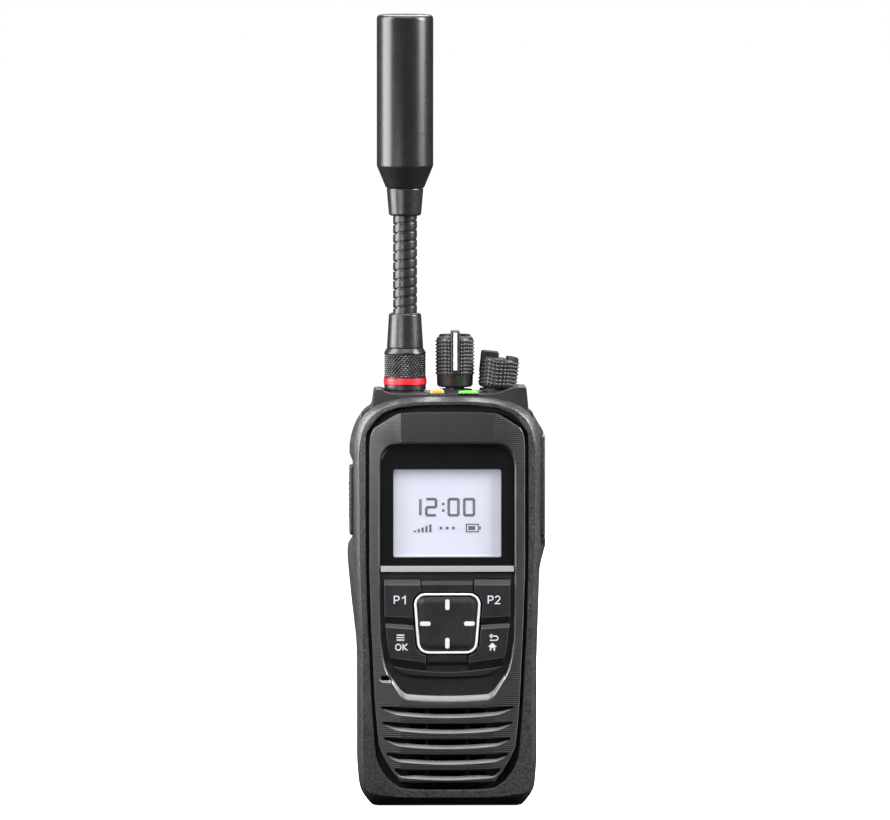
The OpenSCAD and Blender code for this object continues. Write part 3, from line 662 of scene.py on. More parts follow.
# ---------------------------------------------------------------- front of the case


LUG_WIDTH = 1.4


def cover_lug(y):
    """Lug at the foot of the jack cover that holds its hinge pin."""
    pin_hole = rod((HINGE_X, y - 1, HINGE_Z), (HINGE_X, y + 3, HINGE_Z), 0.42)
    return without(box((29.6, 31.6), (y, y + LUG_WIDTH), (83.2, 86.2)), pin_hole)


def front_shell():
    """Frame of the case, which rounds over from its sides to the groove round the panel."""
    lift = FRONT - FACE_START
    outside = [
        raised(case_side, SPLIT_Y - 0.05),
        raised(case_side, -5.5),
        raised(mix(case_side, case_front, 0.15), -7.4),
        raised(mix(case_side, case_front, 0.6), -9.2),
        raised(case_front, FACE_START),
    ]
    for across, forward in ((0.18, 0.3), (0.42, 0.58), (0.7, 0.82), (0.9, 0.955), (1, 1)):
        step = mix(case_front, face_edge, across)
        outside.append(raised(step, FACE_START + lift * forward, forward))
    inside = [
        raised(grow(groove, 0.35), FRONT, 1),
        raised(grow(groove, 0.1), FRONT + 0.1, 1),
        raised(groove, FRONT + 0.35, 1),
        raised(groove, -12.2),
        raised(grow(groove, 0.9), -12.2),
        raised(grow(groove, 0.9), PANEL_BACK),
        raised(grow(case_front, -2), PANEL_BACK),
        raised(grow(case_front, -2), SPLIT_Y - 0.05),
    ]
    bm = loft(outside + inside, closed=True)
    openings = joined(
        box((-40, 40), (STEP_Y, 10), (STEP_Z, 150)),
        box((-40, -25), (ptt_low.y + 0.1, ptt_high.y - 0.1), (ptt_low.z + 0.5, ptt_high.z - 0.5)),
        box((25, 40), (-7.2, -0.8), (jack_low.z - 0.2, jack_high.z + 0.2)),
        rod((25, screw_y, screw_z), (40, screw_y, screw_z), 1.2),
    )
    return union(without(bm, openings), cover_lug(cover_low.y))


# Microphone port left of the silver arc
PORT_MOUTH = [(-21.9, 40.9), (-21.1, 39.9), (-18.4, 39.7), (-17.6, 40.6), (-18.3, 42.1), (-21.3, 42.1)]
PORT_FLOOR = [(-21.3, 40.9), (-20.9, 40.6), (-18.9, 40.6), (-18.4, 40.9), (-18.6, 41.8), (-21.1, 41.8)]
PANEL_PAINTS = [PANEL, HOLLOW, SPEAKER, LIP_HIGHLIGHT]
SLOTS = 5
SLOT_PITCH = 5


def slot_loops(index):
    """Mouth and floor of a speaker slot, each anticlockwise from its lower left end."""
    half = (21.2, 20.8, 20.3, 19.5, 17)[index]
    down = SLOT_PITCH * index
    count = 24
    places = [half * (-math.cos(math.pi * i / count)) for i in range(count + 1)]

    def low(x):
        if abs(x) <= FACET_X:
            return 28.5 + 0.8 * (x / FACET_X) ** 2
        share = (abs(x) - FACET_X) / (half - FACET_X)
        return 29.3 + 2.3 * share ** 1.5

    def high(x):
        return 32.3 - 0.5 * (1 - (x / half) ** 2)

    mouth = [(x, low(x) - down) for x in places] + [(x, high(x) - down) for x in reversed(places)]
    floor = []
    for x in places:
        lip = 1.2 * min(1.0, (half - abs(x)) / 7) ** 0.7
        floor.append((x * 0.985, low(x) + lip - down))
    floor += [(x * 0.985, high(x) - 0.1 - down) for x in reversed(places)]
    return mouth, floor


def panel_paint(face):
    """Grey, a painted highlight, for the lips of the slots, dark for the walls of hollows, and black for
    what lies deeper.
    """
    middle = face.calc_center_median()
    on_lip = FRONT + 0.07 < middle.y < FRONT + LIP_DEPTH and middle.z < 42
    leaning = abs(face.normal.y) < 0.95 and abs(face.normal.z) > 0.2
    if on_lip and leaning and any(abs(v.co.z - middle.z) > 0.25 for v in face.verts):
        return LIP_HIGHLIGHT
    if middle.y < FRONT + 0.9 or abs(middle.y - SLOT_FLOOR) < 0.01:
        return PANEL
    return HOLLOW if middle.y < SLOT_FLOOR + 0.1 else SPEAKER


def front_panel():
    """Faceted panel with its recess, speaker slots and microphone port, modelled flat and then bent."""
    bm = bmesh.new()
    rim = open_skin(
        bm,
        raised(grow(groove, 0.7), PANEL_BACK),
        raised(grow(groove, 0.7), PANEL_RIM),
        raised(panel_edge, PANEL_RIM),
        raised(panel_edge, FRONT + 0.3),
        raised(grow(panel_edge, -0.08), FRONT + 0.1),
        raised(grow(panel_edge, -0.3), FRONT),
    )
    edge, floor = recess_loop(RECESS_EDGE, 2), recess_loop(RECESS, 2)
    opening = recess_loop(OPENING, 1.5)
    recess = open_skin(bm, raised(edge, FRONT), raised(mix(edge, floor, 0.55), FRONT + 0.4),
                       raised(floor, FLOOR_Y))
    wall = open_skin(bm, raised(opening, FLOOR_Y), raised(opening, PANEL_BACK))
    fill(bm, recess[-1], wall[0])
    face_holes, back_holes = [recess[0]], [wall[-1]]
    for index in range(SLOTS):
        mouth, slot_floor = slot_loops(index)
        slot = open_skin(bm, raised(mouth, FRONT), raised(mix(mouth, slot_floor, 0.1), FRONT + 0.06),
                         raised(slot_floor, FRONT + LIP_DEPTH), raised(slot_floor, SLOT_FLOOR))
        face_holes.append(slot[0])
        windows = []
        low = 29.8 - SLOT_PITCH * index
        for x0, x1 in ((-12.4, -7), (-6, 6), (7, 12.4)):
            window = rectangle(x0, low, x1, low + 1.4, 0.4)
            shaft = open_skin(bm, raised(window, SLOT_FLOOR), raised(window, PANEL_BACK))
            windows.append(shaft[0])
            back_holes.append(shaft[-1])
        fill(bm, slot[-1], *windows)
    mouth, port = (soft(points, 0.2, closed=True) for points in (PORT_MOUTH, PORT_FLOOR))
    hole = open_skin(bm, raised(mouth, FRONT), raised(mix(mouth, port, 0.1), FRONT + 0.06),
                     raised(port, FRONT + 0.8), raised(port, -12.6))
    bm.faces.new(hole[-1])
    face_holes.append(hole[0])
    fill(bm, rim[-1], *face_holes)
    fill(bm, rim[0], *back_holes)
    for side in (-1, 1):
        bmesh.ops.bisect_plane(bm, geom=bm.verts[:] + bm.edges[:] + bm.faces[:],
                               plane_co=(side * FACET_X, 0, 0), plane_no=(1, 0, 0))
    bm.normal_update()
    for face in bm.faces:
        face.material_index = PANEL_PAINTS.index(panel_paint(face))
    for vert in bm.verts:
        if vert.co.y < FLOOR_Y - 0.1:
            vert.co.y += drop(vert.co.x) * (1 if vert.co.y < FRONT + 0.45 else 0.6)
    return bm


make("front_shell", front_shell(), CASE, "handset", "case_plastic", ["front_case"])
make("panel_face", front_panel(), PANEL_PAINTS, "handset", "panel_plastic", ["front_panel"], crease=True)

# ---------------------------------------------------------------- rear chassis and deck

BLOCK_FOOT = 113
UPPER = [(30.0, BLOCK_FOOT)] + FRAME[8:]
RIGHT_SHOULDER = [(28.2, STEP_Z), (27.7, 126.3)] + CROWN
LEFT_SHOULDER = [(28.05, STEP_Z), (27.9, 125.4)] + CROWN
DECK = [
    (26.2, 118), (26.1, 129), (25.5, 134.8), (22.2, 134.8), (20.4, 134.3), (17.6, 133.2), (15.3, DECK_Z),
    (-18.2, DECK_Z), (-20.2, 133.4), (-20.8, 134.1), (-23.3, 134.1), (-23.9, 129.3), (-24.6, 128),
    (-25.3, 126), (-25.6, 118),
]


def simple_loop(half, reach, left=None, count=28):
    """Closed loop of a half outline, or of two, with a flat bottom."""
    sides = []
    for points in (half, left or half):
        line = to_middle(points, reach)
        sides.append(spread(line, count) + [line[-1]])
    return whole(*sides)


def squeezed(loop, across, base=0.0, up=1.0):
    """A loop made narrower, and lower above a base."""
    return [(x * across, base + (z - base) * up) for x, z in loop]


selector_axis = Vector(JOINTS["selector_turn"]["pos_m"]) / MM
volume_axis = Vector(JOINTS["volume_turn"]["pos_m"]) / MM
volume_up = Vector(JOINTS["volume_turn"]["axis"]).normalized()
antenna_axis = Vector(JOINTS["antenna_turn"]["pos_m"]) / MM
AT_SELECTOR = Matrix.Translation(selector_axis)
VOLUME_LEAN = Matrix.Rotation(math.atan2(volume_up.x, volume_up.z), 4, "Y")
AT_VOLUME = Matrix.Translation(volume_axis) @ VOLUME_LEAN
AT_ANTENNA = Matrix.Translation((antenna_axis.x, antenna_axis.y, 0))


def placed(bm, matrix):
    bm.transform(matrix)
    return bm


def chassis_cuts():
    """Seats of the antenna and knobs, wells of the button and light, and what opens to the back."""
    cuts = [placed(rod((0, 0, low), (0, 0, high), radius, count), at) for at, low, high, radius, count in (
        (AT_ANTENNA, DECK_Z, 145, 7.6, 48),
        (AT_ANTENNA, 120, 145, 4.1, 32),
        (AT_SELECTOR, -8, 4, 4.6, 32),
        (AT_VOLUME, -8, 4, 4.6, 32),
        (AT_VOLUME, 0.05, 12, 7.0, 48),
    )]
    button, light = (button_low, button_high), (light_low, light_high)
    for (low, high), across, along in ((button, -0.5, 0.3), (light, 0.05, 0.05)):
        cuts.append(box((low.x - across, high.x + across), (low.y - along, high.y + along), (127, 140)))
    for (low, high), across, down in ((button, 0.3, 0.25), (light, 0.05, 0.6)):
        cuts.append(box((low.x - across, high.x + across), (-20, low.y + 1), (DECK_Z - down, 140)))
    for side in (-1, 1):
        cuts.append(rod((side * 11, BACK - 5, 121), (side * 11, BACK + 1, 121), 1.25, 24))
        for x, z in ((24.4, 12), (25.4, 78)):
            cuts.append(rod((side * x, 5.1, z), (side * x, 10, z), 2.35, 24))
    for i in range(-2, 3):
        cuts.append(box((i * 4 - 1.05, i * 4 + 1.05), (3, 8), (13, 17)))
    cuts.append(box((-6.4, 6.4), (3.8, 10), (5, 10.4)))
    return joined(*cuts)


def rear_shell():
    """Tray behind the front frame, block above the battery, shoulders, and deck with its two horns."""
    tray = loft([
        raised(grow(case_side, -0.25), SPLIT_Y + 0.05),
        raised(case_side, SPLIT_Y + 0.3),
        raised(case_side, 2.4),
        raised(mix(case_side, case_front, 0.55), 4.2),
        raised(case_front, 5.6),
        raised(grow(case_front, -0.25), 6.15),
        raised(grow(case_front, -0.6), 6.3),
    ])
    upper = simple_loop(UPPER, 2)
    block = loft([
        raised(squeezed(upper, across, BLOCK_FOOT, up), y)
        for y, across, up in ((4, 0.98, 0.97), (6.3, 0.985, 0.985), (9, 0.963, 0.98), (11.5, 0.93, 0.965),
                              (13.4, 0.897, 0.945), (15.2, 0.83, 0.9), (16.1, 0.785, 0.865),
                              (BACK, 0.755, 0.845))
    ])
    shoulder = simple_loop(RIGHT_SHOULDER, 1.0, LEFT_SHOULDER, 44)
    shoulders = loft([raised(shoulder, y) for y in (STEP_Y + 0.05, 4)])
    outline = soft(DECK, 0.9, closed=True, steps=4)

    def lowered(share):
        """The deck's outline with a share of its horns' height."""
        return [(x, min(z, DECK_Z + (z - DECK_Z) * share) if z > DECK_Z else z) for x, z in outline]

    deck = loft([
        raised(grow(outline, -0.35), STEP_Y + 0.02),
        raised(grow(outline, -0.1), STEP_Y + 0.15),
        raised(outline, STEP_Y + 0.5),
        raised(outline, 5),
        raised(squeezed(lowered(0.85), 0.985), 7.5),
        raised(squeezed(lowered(0.6), 0.96), 9.5),
        raised(squeezed(lowered(0.35), 0.92), 11.5),
        raised(squeezed(grow(lowered(0.15), -0.15), 0.87), 12.9),
        raised(squeezed(grow(lowered(0.05), -0.6), 0.82), 13.8),
        raised(squeezed(grow(lowered(0.0), -1.4), 0.77), 14.2),
    ])
    surround = plate(rectangle(-6.6, -11.3, 10.9, -5.9, 1.2), 128, DECK_Z + 0.15, 0.1, to=facing_up)
    bm = union(tray, block, shoulders, deck, surround, cover_lug(cover_high.y - LUG_WIDTH))
    return without(bm, chassis_cuts())


make("rear_shell", rear_shell(), CHASSIS, "handset", "chassis_paint", ["rear_chassis"])

# ---------------------------------------------------------------- window and display

screen_low = Vector((-17.3, 0, 80.2))
screen_high = Vector((17.3, 0, 108.5))
LENS_HALF = [(21.4, 77.55), (21.43, 80), (21.45, 110), (20.95, 112.5), (19.7, 114.35), (17.8, 115.55),
             (15.5, 115.84)]
DISPLAY_Y = -12.84
MARKS_Y = -12.88


def screen_outline(amount, corner, steps=3):
    """Outline of the clear opening, grown by an amount."""
    return rectangle(screen_low.x - amount, screen_low.z - amount,
                     screen_high.x + amount, screen_high.z + amount, corner, steps)


def window_border():
    """The black printed glass with a clear opening in front of the display."""
    outline = soft(mirrored(LENS_HALF), 1.2, closed=True)
    hole = screen_outline(0, 0.9, 4)
    bm = bmesh.new()
    outer = open_skin(bm, raised(outline, LENS_BACK), raised(outline, FLOOR_Y + 0.15),
                      raised(grow(outline, -0.05), FLOOR_Y + 0.05), raised(grow(outline, -0.18), FLOOR_Y))
    inner = open_skin(bm, raised(grow(hole, 0.08), FLOOR_Y), raised(hole, FLOOR_Y + 0.08),
                      raised(hole, LENS_BACK))
    fill(bm, outer[-1], inner[0])
    fill(bm, outer[0], inner[-1])
    return bm


pane = plate(screen_outline(-0.02, 0.9, 4), -14.05, FLOOR_Y + 0.06, 0.05)
display = plate(screen_outline(0.1, 0.5), -12.75, DISPLAY_Y, 0.03)
make("window_border", window_border(), GLASS, "handset", "window_glass", ["window_lens"])
make("window_pane", pane, PANE, "handset", "window_glass")
make("display_face", display, SCREEN, "handset", "display_glass")


def ribbon(bm, path, wide, y, thick=0.05, closed=False):
    """A flat stroke along a path on the front."""
    left, right = [], []
    count = len(path)
    for i, (x, z) in enumerate(path):
        before = path[i - 1] if i or closed else path[0]
        after = path[(i + 1) % count] if i < count - 1 or closed else path[-1]
        a = Vector((x - before[0], z - before[1]))
        b = Vector((after[0] - x, after[1] - z))
        along = (a.normalized() + b.normalized()).normalized()
        normal = Vector((-along.y, along.x))
        ways = [v for v in (a, b) if v.length > 1e-9]
        miter = max(0.4, abs(normal.dot(Vector((-ways[0].y, ways[0].x)).normalized())))
        reach = wide / 2 / miter
        left.append((x + normal.x * reach, z + normal.y * reach))
        right.append((x - normal.x * reach, z - normal.y * reach))
    rings = []
    for (lx, lz), (rx, rz) in zip(left, right):
        rings.append([(lx, y, lz), (rx, y, rz), (rx, y + thick, rz), (lx, y + thick, lz)])
    loft(rings, bm, closed)


def bend(x, z, radius, start, stop, count=10):
    """Points of an arc, with angles in degrees."""
    return [
        (x + radius * math.cos(math.radians(start + (stop - start) * i / count)),
         z + radius * math.sin(math.radians(start + (stop - start) * i / count)))
        for i in range(count + 1)
    ]


def strokes(lines, wide, y, thick=0.05):
    """Strokes along open paths, or along a pair of a path and whether it closes."""
    bm = bmesh.new()
    for line in lines:
        path, closed = line if isinstance(line, tuple) else (line, False)
        ribbon(bm, path, wide, y, thick, closed)
    return bm


def screen_marks():
    """A clock over signal bars, three dots and a battery, as a plain start screen."""
    y = MARKS_Y
    bm = bmesh.new()
    digits(bm, "12:00", -11.7, 93.6, 3.1, 5.2, 0.85, y)
    for i in range(5):
        ribbon(bm, [(-10.4 + 1.25 * i, 88.1), (-10.4 + 1.25 * i, 88.7 + 0.5 * i)], 0.75, y)
    for i in range(-1, 2):
        ribbon(bm, [(2 * i - 0.45, 89.5), (2 * i + 0.45, 89.5)], 0.9, y)
    ribbon(bm, [(6.2, 88.3), (10.0, 88.3), (10.0, 90.7), (6.2, 90.7)], 0.4, y, closed=True)
    ribbon(bm, [(6.8, 89.5), (9.0, 89.5)], 1.3, y)
    ribbon(bm, [(10.3, 89.5), (10.8, 89.5)], 1.0, y)
    return bm


SEGMENTS = {"0": "abcdef", "1": "bc", "2": "abged"}


def digits(bm, text, x, z, wide, high, thick, y):
    """Plain seven-segment digits."""
    for mark in text:
        if mark == ":":
            for share in (0.3, 0.7):
                ribbon(bm, [(x, z + high * share), (x + thick, z + high * share)], thick, y)
            x += 2.2
            continue
        mid = z + high / 2
        lines = {
            "a": [(x, z + high), (x + wide, z + high)],
            "b": [(x + wide, z + high), (x + wide, mid)],
            "c": [(x + wide, mid), (x + wide, z)],
            "d": [(x, z), (x + wide, z)],
            "e": [(x, z), (x, mid)],
            "f": [(x, mid), (x, z + high)],
            "g": [(x, mid), (x + wide, mid)],
        }
        for key in SEGMENTS[mark]:
            ribbon(bm, lines[key], thick, y)
        x += wide + 1.9


make("display_marks", screen_marks(), SCREEN_INK, "handset", "display_glass", weighted=False)
# White strip along the foot of the display: a painted highlight for light on the lower edge of its recess.
ledge_highlight = rectangle(screen_low.x + 0.5, screen_low.z + 0.1, screen_high.x - 0.5, screen_low.z + 0.5, 0.1)
make("display_ledge_highlight", plate(ledge_highlight, -12.8, -12.95, 0.05), WHITE, "handset", "display_glass")

trim_low, trim_high = span("display_trim")


def display_bar():
    """Silver bar with a sloped upper edge that follows the recess."""
    bm = box((trim_low.x, trim_high.x), (trim_low.y, trim_high.y), (trim_low.z, trim_high.z))
    wedge = box((-30, 30), (-2, 0), (-0.1, 2))
    wedge.transform(Matrix.Translation((0, trim_low.y + 0.75, trim_high.z + 0.1))
                    @ Matrix.Rotation(math.radians(-45), 4, "X"))
    return without(bm, wedge)


make("display_bar", display_bar(), SILVER, "handset", "satin_silver", ["display_trim"], bevel=0.1)


def arc_bar():
    """Silver strip that lies on the lower wall of the recess, in the darker silver copy that paints shade on
    it.
    """
    rings = []
    for i in range(29):
        x = -14.4 + 28.8 * i / 28
        sag = 0.7 * (1 - (x / 14.4) ** 2)
        top, foot = 36.15 - sag, 34.3 - sag
        rings.append([
            (x, FLOOR_Y + 0.1, top + 0.05), (x, FLOOR_Y - 0.4, top + 0.12), (x, FRONT + 0.5, top - 0.3),
            (x, FRONT + 0.12, foot + 0.85), (x, FRONT + 0.02, foot + 0.3), (x, FRONT + 0.2, foot),
            (x, FLOOR_Y + 0.1, foot + 0.6),
        ])
    return loft(rings)


make("arc_bar", arc_bar(), SHADED_SILVER, "handset", "satin_silver", ["lower_trim"])

# ---------------------------------------------------------------- keypad

PAD_LOW, PAD_HIGH = 49.1, 68.6
PAD_Z = (PAD_LOW + PAD_HIGH) / 2
KEY_Y = span("upper_left_key")[0].y
CAP_BACK = span("upper_left_key")[1].y
PAD_Y = span("four_way_pad")[0].y
RIM_Y = span("pad_rim")[0].y


def pad_loop(amount):
    """The rounded outline of the four-way pad, grown by an amount."""
    top, bottom, corner = 10.67, 9.7, 3.7
    loop = []
    for x, z, start in ((top, PAD_HIGH, 0), (-top, PAD_HIGH, 90), (-bottom, PAD_LOW, 180),
                        (bottom, PAD_LOW, 270)):
        cx = x - math.copysign(corner, x)
        cz = z - corner if z == PAD_HIGH else z + corner
        for i in range(7):
            a = math.radians(start + 15 * i)
            loop.append((cx + (corner + amount) * math.cos(a), cz + (corner + amount) * math.sin(a)))
    return loop


def prism(loop, y0, y1):
    return loft([raised(loop, y0), raised(loop, y1)])


# Outlines of the keys on the left; those on the right are their mirror images
UPPER_KEY = [(-20.3, 73.1), (-20.05, 59.5), (-8.75, 58.7), (-8.75, 73.1)]
LOWER_KEY = [(-20, 58.9), (-18.9, 50), (-17.6, 45.4), (-12, 44.5), (-6.9, 44), (-7, 50), (-8, 58.1)]


KEY_SLOPE = 25
KEY_X = 14
KEY_CORNER = 0.5


def on_side(outline, side):
    """An outline drawn on the left, or its mirror image on the right, anticlockwise in both places."""
    return outline if side < 0 else [(-x, z) for x, z in reversed(outline)]


def slope_cut(z, angle, tilt=0.0, x=0.0):
    """A cutter that slopes a face back from a height: upwards for a positive angle."""
    bm = box((-40, 40), (-4, 0), (0, 6) if angle > 0 else (-6, 0))
    bm.transform(Matrix.Translation((x, KEY_Y, z)) @ Matrix.Rotation(math.radians(tilt), 4, "Y")
                 @ Matrix.Rotation(math.radians(-angle), 4, "X"))
    return bm


def key_cap(outline, side, top, foot, top_tilt, foot_tilt):
    """A key cap that stands round the pad, with sloped faces at its top and bottom."""
    return without(
        prism(on_side(soft(outline, KEY_CORNER, closed=True), side), KEY_Y, CAP_BACK),
        prism(pad_loop(0.75), KEY_Y - 1, CAP_BACK + 1),
        slope_cut(top, KEY_SLOPE, -side * top_tilt, side * KEY_X),
        slope_cut(foot, -KEY_SLOPE, -side * foot_tilt, side * KEY_X),
    )


# The rounded edges of each key take paint number 1, the key edge paint: a painted highlight.
for name, body, side, outline, slopes in (
    ("key_one", "upper_left_key", -1, UPPER_KEY, (71.3, 61.0, 0, 3)),
    ("key_two", "upper_right_key", 1, UPPER_KEY, (71.3, 61.0, 0, 3)),
    ("key_list", "menu_key", -1, LOWER_KEY, (57.3, 47.4, 3.8, 8)),
    ("key_return", "back_key", 1, LOWER_KEY, (57.3, 47.4, 3.8, 8)),
):
    make(name, key_cap(outline, side, *slopes), [KEY, KEY_EDGE_HIGHLIGHT], body, "key_rubber", [body],
         sharp=14, bevel=0.15, trim=1)


def keypad_lip():
    """Curved lip under the keys, thin in the middle and thick at its ends."""
    rings = []
    for i in range(25):
        x = -17 + 34 * i / 24
        top = 45.1 - 1.9 * (1 - (x / 17) ** 2)
        low = 41.5 + 0.6 * min(1, abs(x) / 11.2) ** 2 + 2.7 * max(0, (abs(x) - 11.2) / 5.8) ** 2
        rings.append([
            (x, FLOOR_Y + 0.2, top), (x, KEY_Y + 0.4, top), (x, KEY_Y + 0.15, top - 0.2),
            (x, KEY_Y + 0.1, min(top - 0.22, low + 0.3)), (x, KEY_Y + 0.25, min(top - 0.25, low + 0.05)),
            (x, FLOOR_Y + 0.2, min(top - 0.3, low)),
        ])
    return loft(rings)


def keypad_plate():
    """Frame round the keys, with fillers above and below the pad and a lip under the keys."""
    outline = soft(mirrored(OPENING[:6] + [(21.15, 75.2)]), 0.8, closed=True)
    fillers = joined(
        without(box((-8.15, 8.15), (KEY_Y, FLOOR_Y + 0.3), (69, 73.1)), slope_cut(71.3, KEY_SLOPE)),
        without(box((-6.2, 6.2), (KEY_Y, FLOOR_Y + 0.3), (43.9, 48.7)), slope_cut(46.6, -KEY_SLOPE)),
    )
    bm = union(prism(grow(outline, -0.1), FLOOR_Y, -12.95), fillers, keypad_lip())
    holes = [pad_loop(0.35)]
    for side in (-1, 1):
        for key in (UPPER_KEY, LOWER_KEY):
            holes.append(grow(soft(on_side(key, side), KEY_CORNER, closed=True), 0.25))
    return without(bm, *(prism(hole, KEY_Y - 1, -12) for hole in holes))


# The frame's rounded edges take the key edge paint, a painted highlight.
make("keypad_plate", keypad_plate(), [KEY_FRAME, KEY_EDGE_HIGHLIGHT], "handset", "key_rubber",
     ["keypad_frame"], sharp=14, bevel=0.13, trim=1)


def pad_ring():
    """White rim round the pad, rounded at its front."""
    outer, inner = pad_loop(0), pad_loop(-0.74)
    back = CAP_BACK
    return loft([
        raised(outer, back), raised(outer, RIM_Y + 0.25), raised(mix(outer, inner, 0.12), RIM_Y + 0.08),
        raised(mix(outer, inner, 0.35), RIM_Y), raised(mix(outer, inner, 0.65), RIM_Y),
        raised(mix(outer, inner, 0.88), RIM_Y + 0.08), raised(inner, RIM_Y + 0.25), raised(inner, back),
    ], closed=True)


def pad_top():
    """Face of the pad, which rises from its rim and is a little hollow in the middle."""
    rings = [(pad_loop(-0.76), CAP_BACK), (pad_loop(-0.76), PAD_Y + 0.85), (pad_loop(-0.9), PAD_Y + 0.7),
             (pad_loop(-1.3), PAD_Y + 0.5), (pad_loop(-2.2), PAD_Y + 0.16), (pad_loop(-2.7), PAD_Y + 0.04),
             (pad_loop(-3.1), PAD_Y), (pad_loop(-3.65), PAD_Y + 0.02)]
    middle = (0, PAD_Z)
    last = rings[-1][0]
    for share, depth in ((0.35, 0.1), (0.7, 0.16), (0.92, 0.18)):
        rings.append(([between(p, middle, share) for p in last], PAD_Y + depth))
    return loft([raised(loop, y) for loop, y in rings])


make("pad_ring", pad_ring(), WHITE, "four_way_pad", "white_print", ["pad_rim"])
make("pad_top", pad_top(), KEY, "four_way_pad", "key_rubber", ["four_way_pad"])


def pad_ticks():
    """White bars that mark the four ways."""
    parts = []
    for x, z, wide, high in ((0, PAD_HIGH - 3.65, 1.4, 3.4), (0, PAD_LOW + 3.45, 1.4, 3.4),
                             (-7.1, PAD_Z, 3.4, 1.4), (7.1, PAD_Z, 3.4, 1.4)):
        loop = rectangle(x - wide / 2, z - high / 2, x + wide / 2, z + high / 2, 0.65, 5)
        parts.append(plate(loop, PAD_Y + 0.4, PAD_Y - 0.03, 0.04, 2))
    return joined(*parts)


make("pad_ticks", pad_ticks(), WHITE, "four_way_pad", "white_print")

MARK_Y = KEY_Y - 0.03
LETTER_P = [(0, 0), (0, 2.4), (0.9, 2.4)] + bend(0.9, 1.75, 0.65, 90, -90, 8) + [(0.1, 1.1)]
HOUSE = [(0.55, 0), (1.05, 0), (1.05, 0.85), (1.75, 0.85), (1.75, 0), (2.25, 0), (2.25, 1.25), (2.8, 1.25),
         (1.4, 2.6), (0, 1.25), (0.55, 1.25)]


def shifted(path, x, z):
    return [(u + x, v + z) for u, v in path]


ICONS = {
    "mark_one": ("upper_left_key", 0.37, [
        shifted(LETTER_P, -17.05, 65.3), [(-14.55, 67.0), (-13.55, 67.65), (-13.55, 65.1)],
    ]),
    "mark_two": ("upper_right_key", 0.37, [
        shifted(LETTER_P, 13.15, 65.3),
        bend(16.15, 67.0, 0.72, 165, -35, 8) + [(15.4, 65.3), (17.05, 65.3)],
    ]),
    "mark_list": ("menu_key", 0.36, [
        [(-16.3, 55.2), (-13.8, 55.2)], [(-16.3, 54.4), (-13.8, 54.4)], [(-16.3, 53.6), (-13.8, 53.6)],
        (oval(-15.75, 51.3, 0.85, 0.95, 20), True),
        [(-14.25, 52.35), (-14.25, 50.25)], [(-12.85, 52.35), (-14.15, 51.3), (-12.8, 50.25)],
    ]),
    "mark_return": ("back_key", 0.36, [
        [(14.3, 55.5), (13.65, 54.85), (14.3, 54.2)],
        [(13.8, 54.85), (15.6, 54.85)] + bend(15.6, 54.17, 0.68, 90, -90, 8) + [(13.7, 53.49)],
    ]),
}
for name, (body, wide, lines) in ICONS.items():
    icon = strokes(lines, wide, MARK_Y, 0.1)
    if name == "mark_return":
        icon = joined(icon, prism(shifted(HOUSE, 13.1, 50.15), MARK_Y, MARK_Y + 0.1))
    make(name, icon, WHITE, body, "white_print", weighted=False)

# ---------------------------------------------------------------- knobs


def bump_field(low, high, pitch, depth=0.5, free=0.29):
    """Rows of small pyramids round a knob, left out near the rib in front."""

    def shape(a, z):
        if not low < z < high:
            return 0.0
        if abs((a + math.pi / 2 + math.pi) % (2 * math.pi) - math.pi) < free:
            return -depth * 0.5
        u = abs(((a * PYRAMIDS / (2 * math.pi)) % 1) * 2 - 1)
        v = abs((((z - low) / pitch) % 1) * 2 - 1)
        return depth * max(0.0, 1 - u * 1.25) * max(0.0, 1 - v * 1.25)
    return shape


RIB_Y = -6.27
RIB_CORNER = 0.85
LINE_FOOT = 7.2
PYRAMIDS = 32


def knob(radius, base, height, rib_top, low, rows, pitch):
    """A knob that points to -Y: skirt, rows of pyramids, raised rib and a raised rim behind it."""
    high, top = low + rows * pitch, height - 0.9
    crest = max(high + 0.02, top - 0.5)
    steps = rows * 8
    profile = [(0, base), (4.7, base), (5.2, base + 0.1), (radius - 0.3, base + 0.45),
               (radius - 0.13, base + 0.8), (radius - 0.05, max(low - 0.1, base + 0.9))]
    profile += [(radius, low + (high - low) * i / steps) for i in range(steps + 1)]
    profile += [(radius, crest), (radius - 0.15, (crest + top) / 2), (radius - 0.5, top), (0, top)]
    body = lathe(profile, PYRAMIDS * 8, bump_field(low, high, pitch))
    section = [(radius - 1.75, top - 0.6), (radius, top - 0.6), (radius, height - 0.7),
               (radius - 0.5, height - 0.1), (radius - 1.55, height - 0.1), (radius - 1.75, height - 0.3)]
    rim = []
    for i in range(21):
        a = math.radians(28 + 6.2 * i)
        rim.append([(r * math.cos(a), r * math.sin(a), z) for r, z in section])
    rib_side = rectangle(0.4, 5.4, -RIB_Y, rib_top, RIB_CORNER, 5)
    rib = placed(plate(rib_side, 1.45, -1.45, 0.4, back_edge=0.4), Matrix.Rotation(-math.pi / 2, 4, "Z"))
    slit = box((-0.72, 0.72), (RIB_Y - 1, RIB_Y + 0.25), (LINE_FOOT - 0.05, rib_top - 0.6))
    return without(union(body, loft(rim), rib), slit)


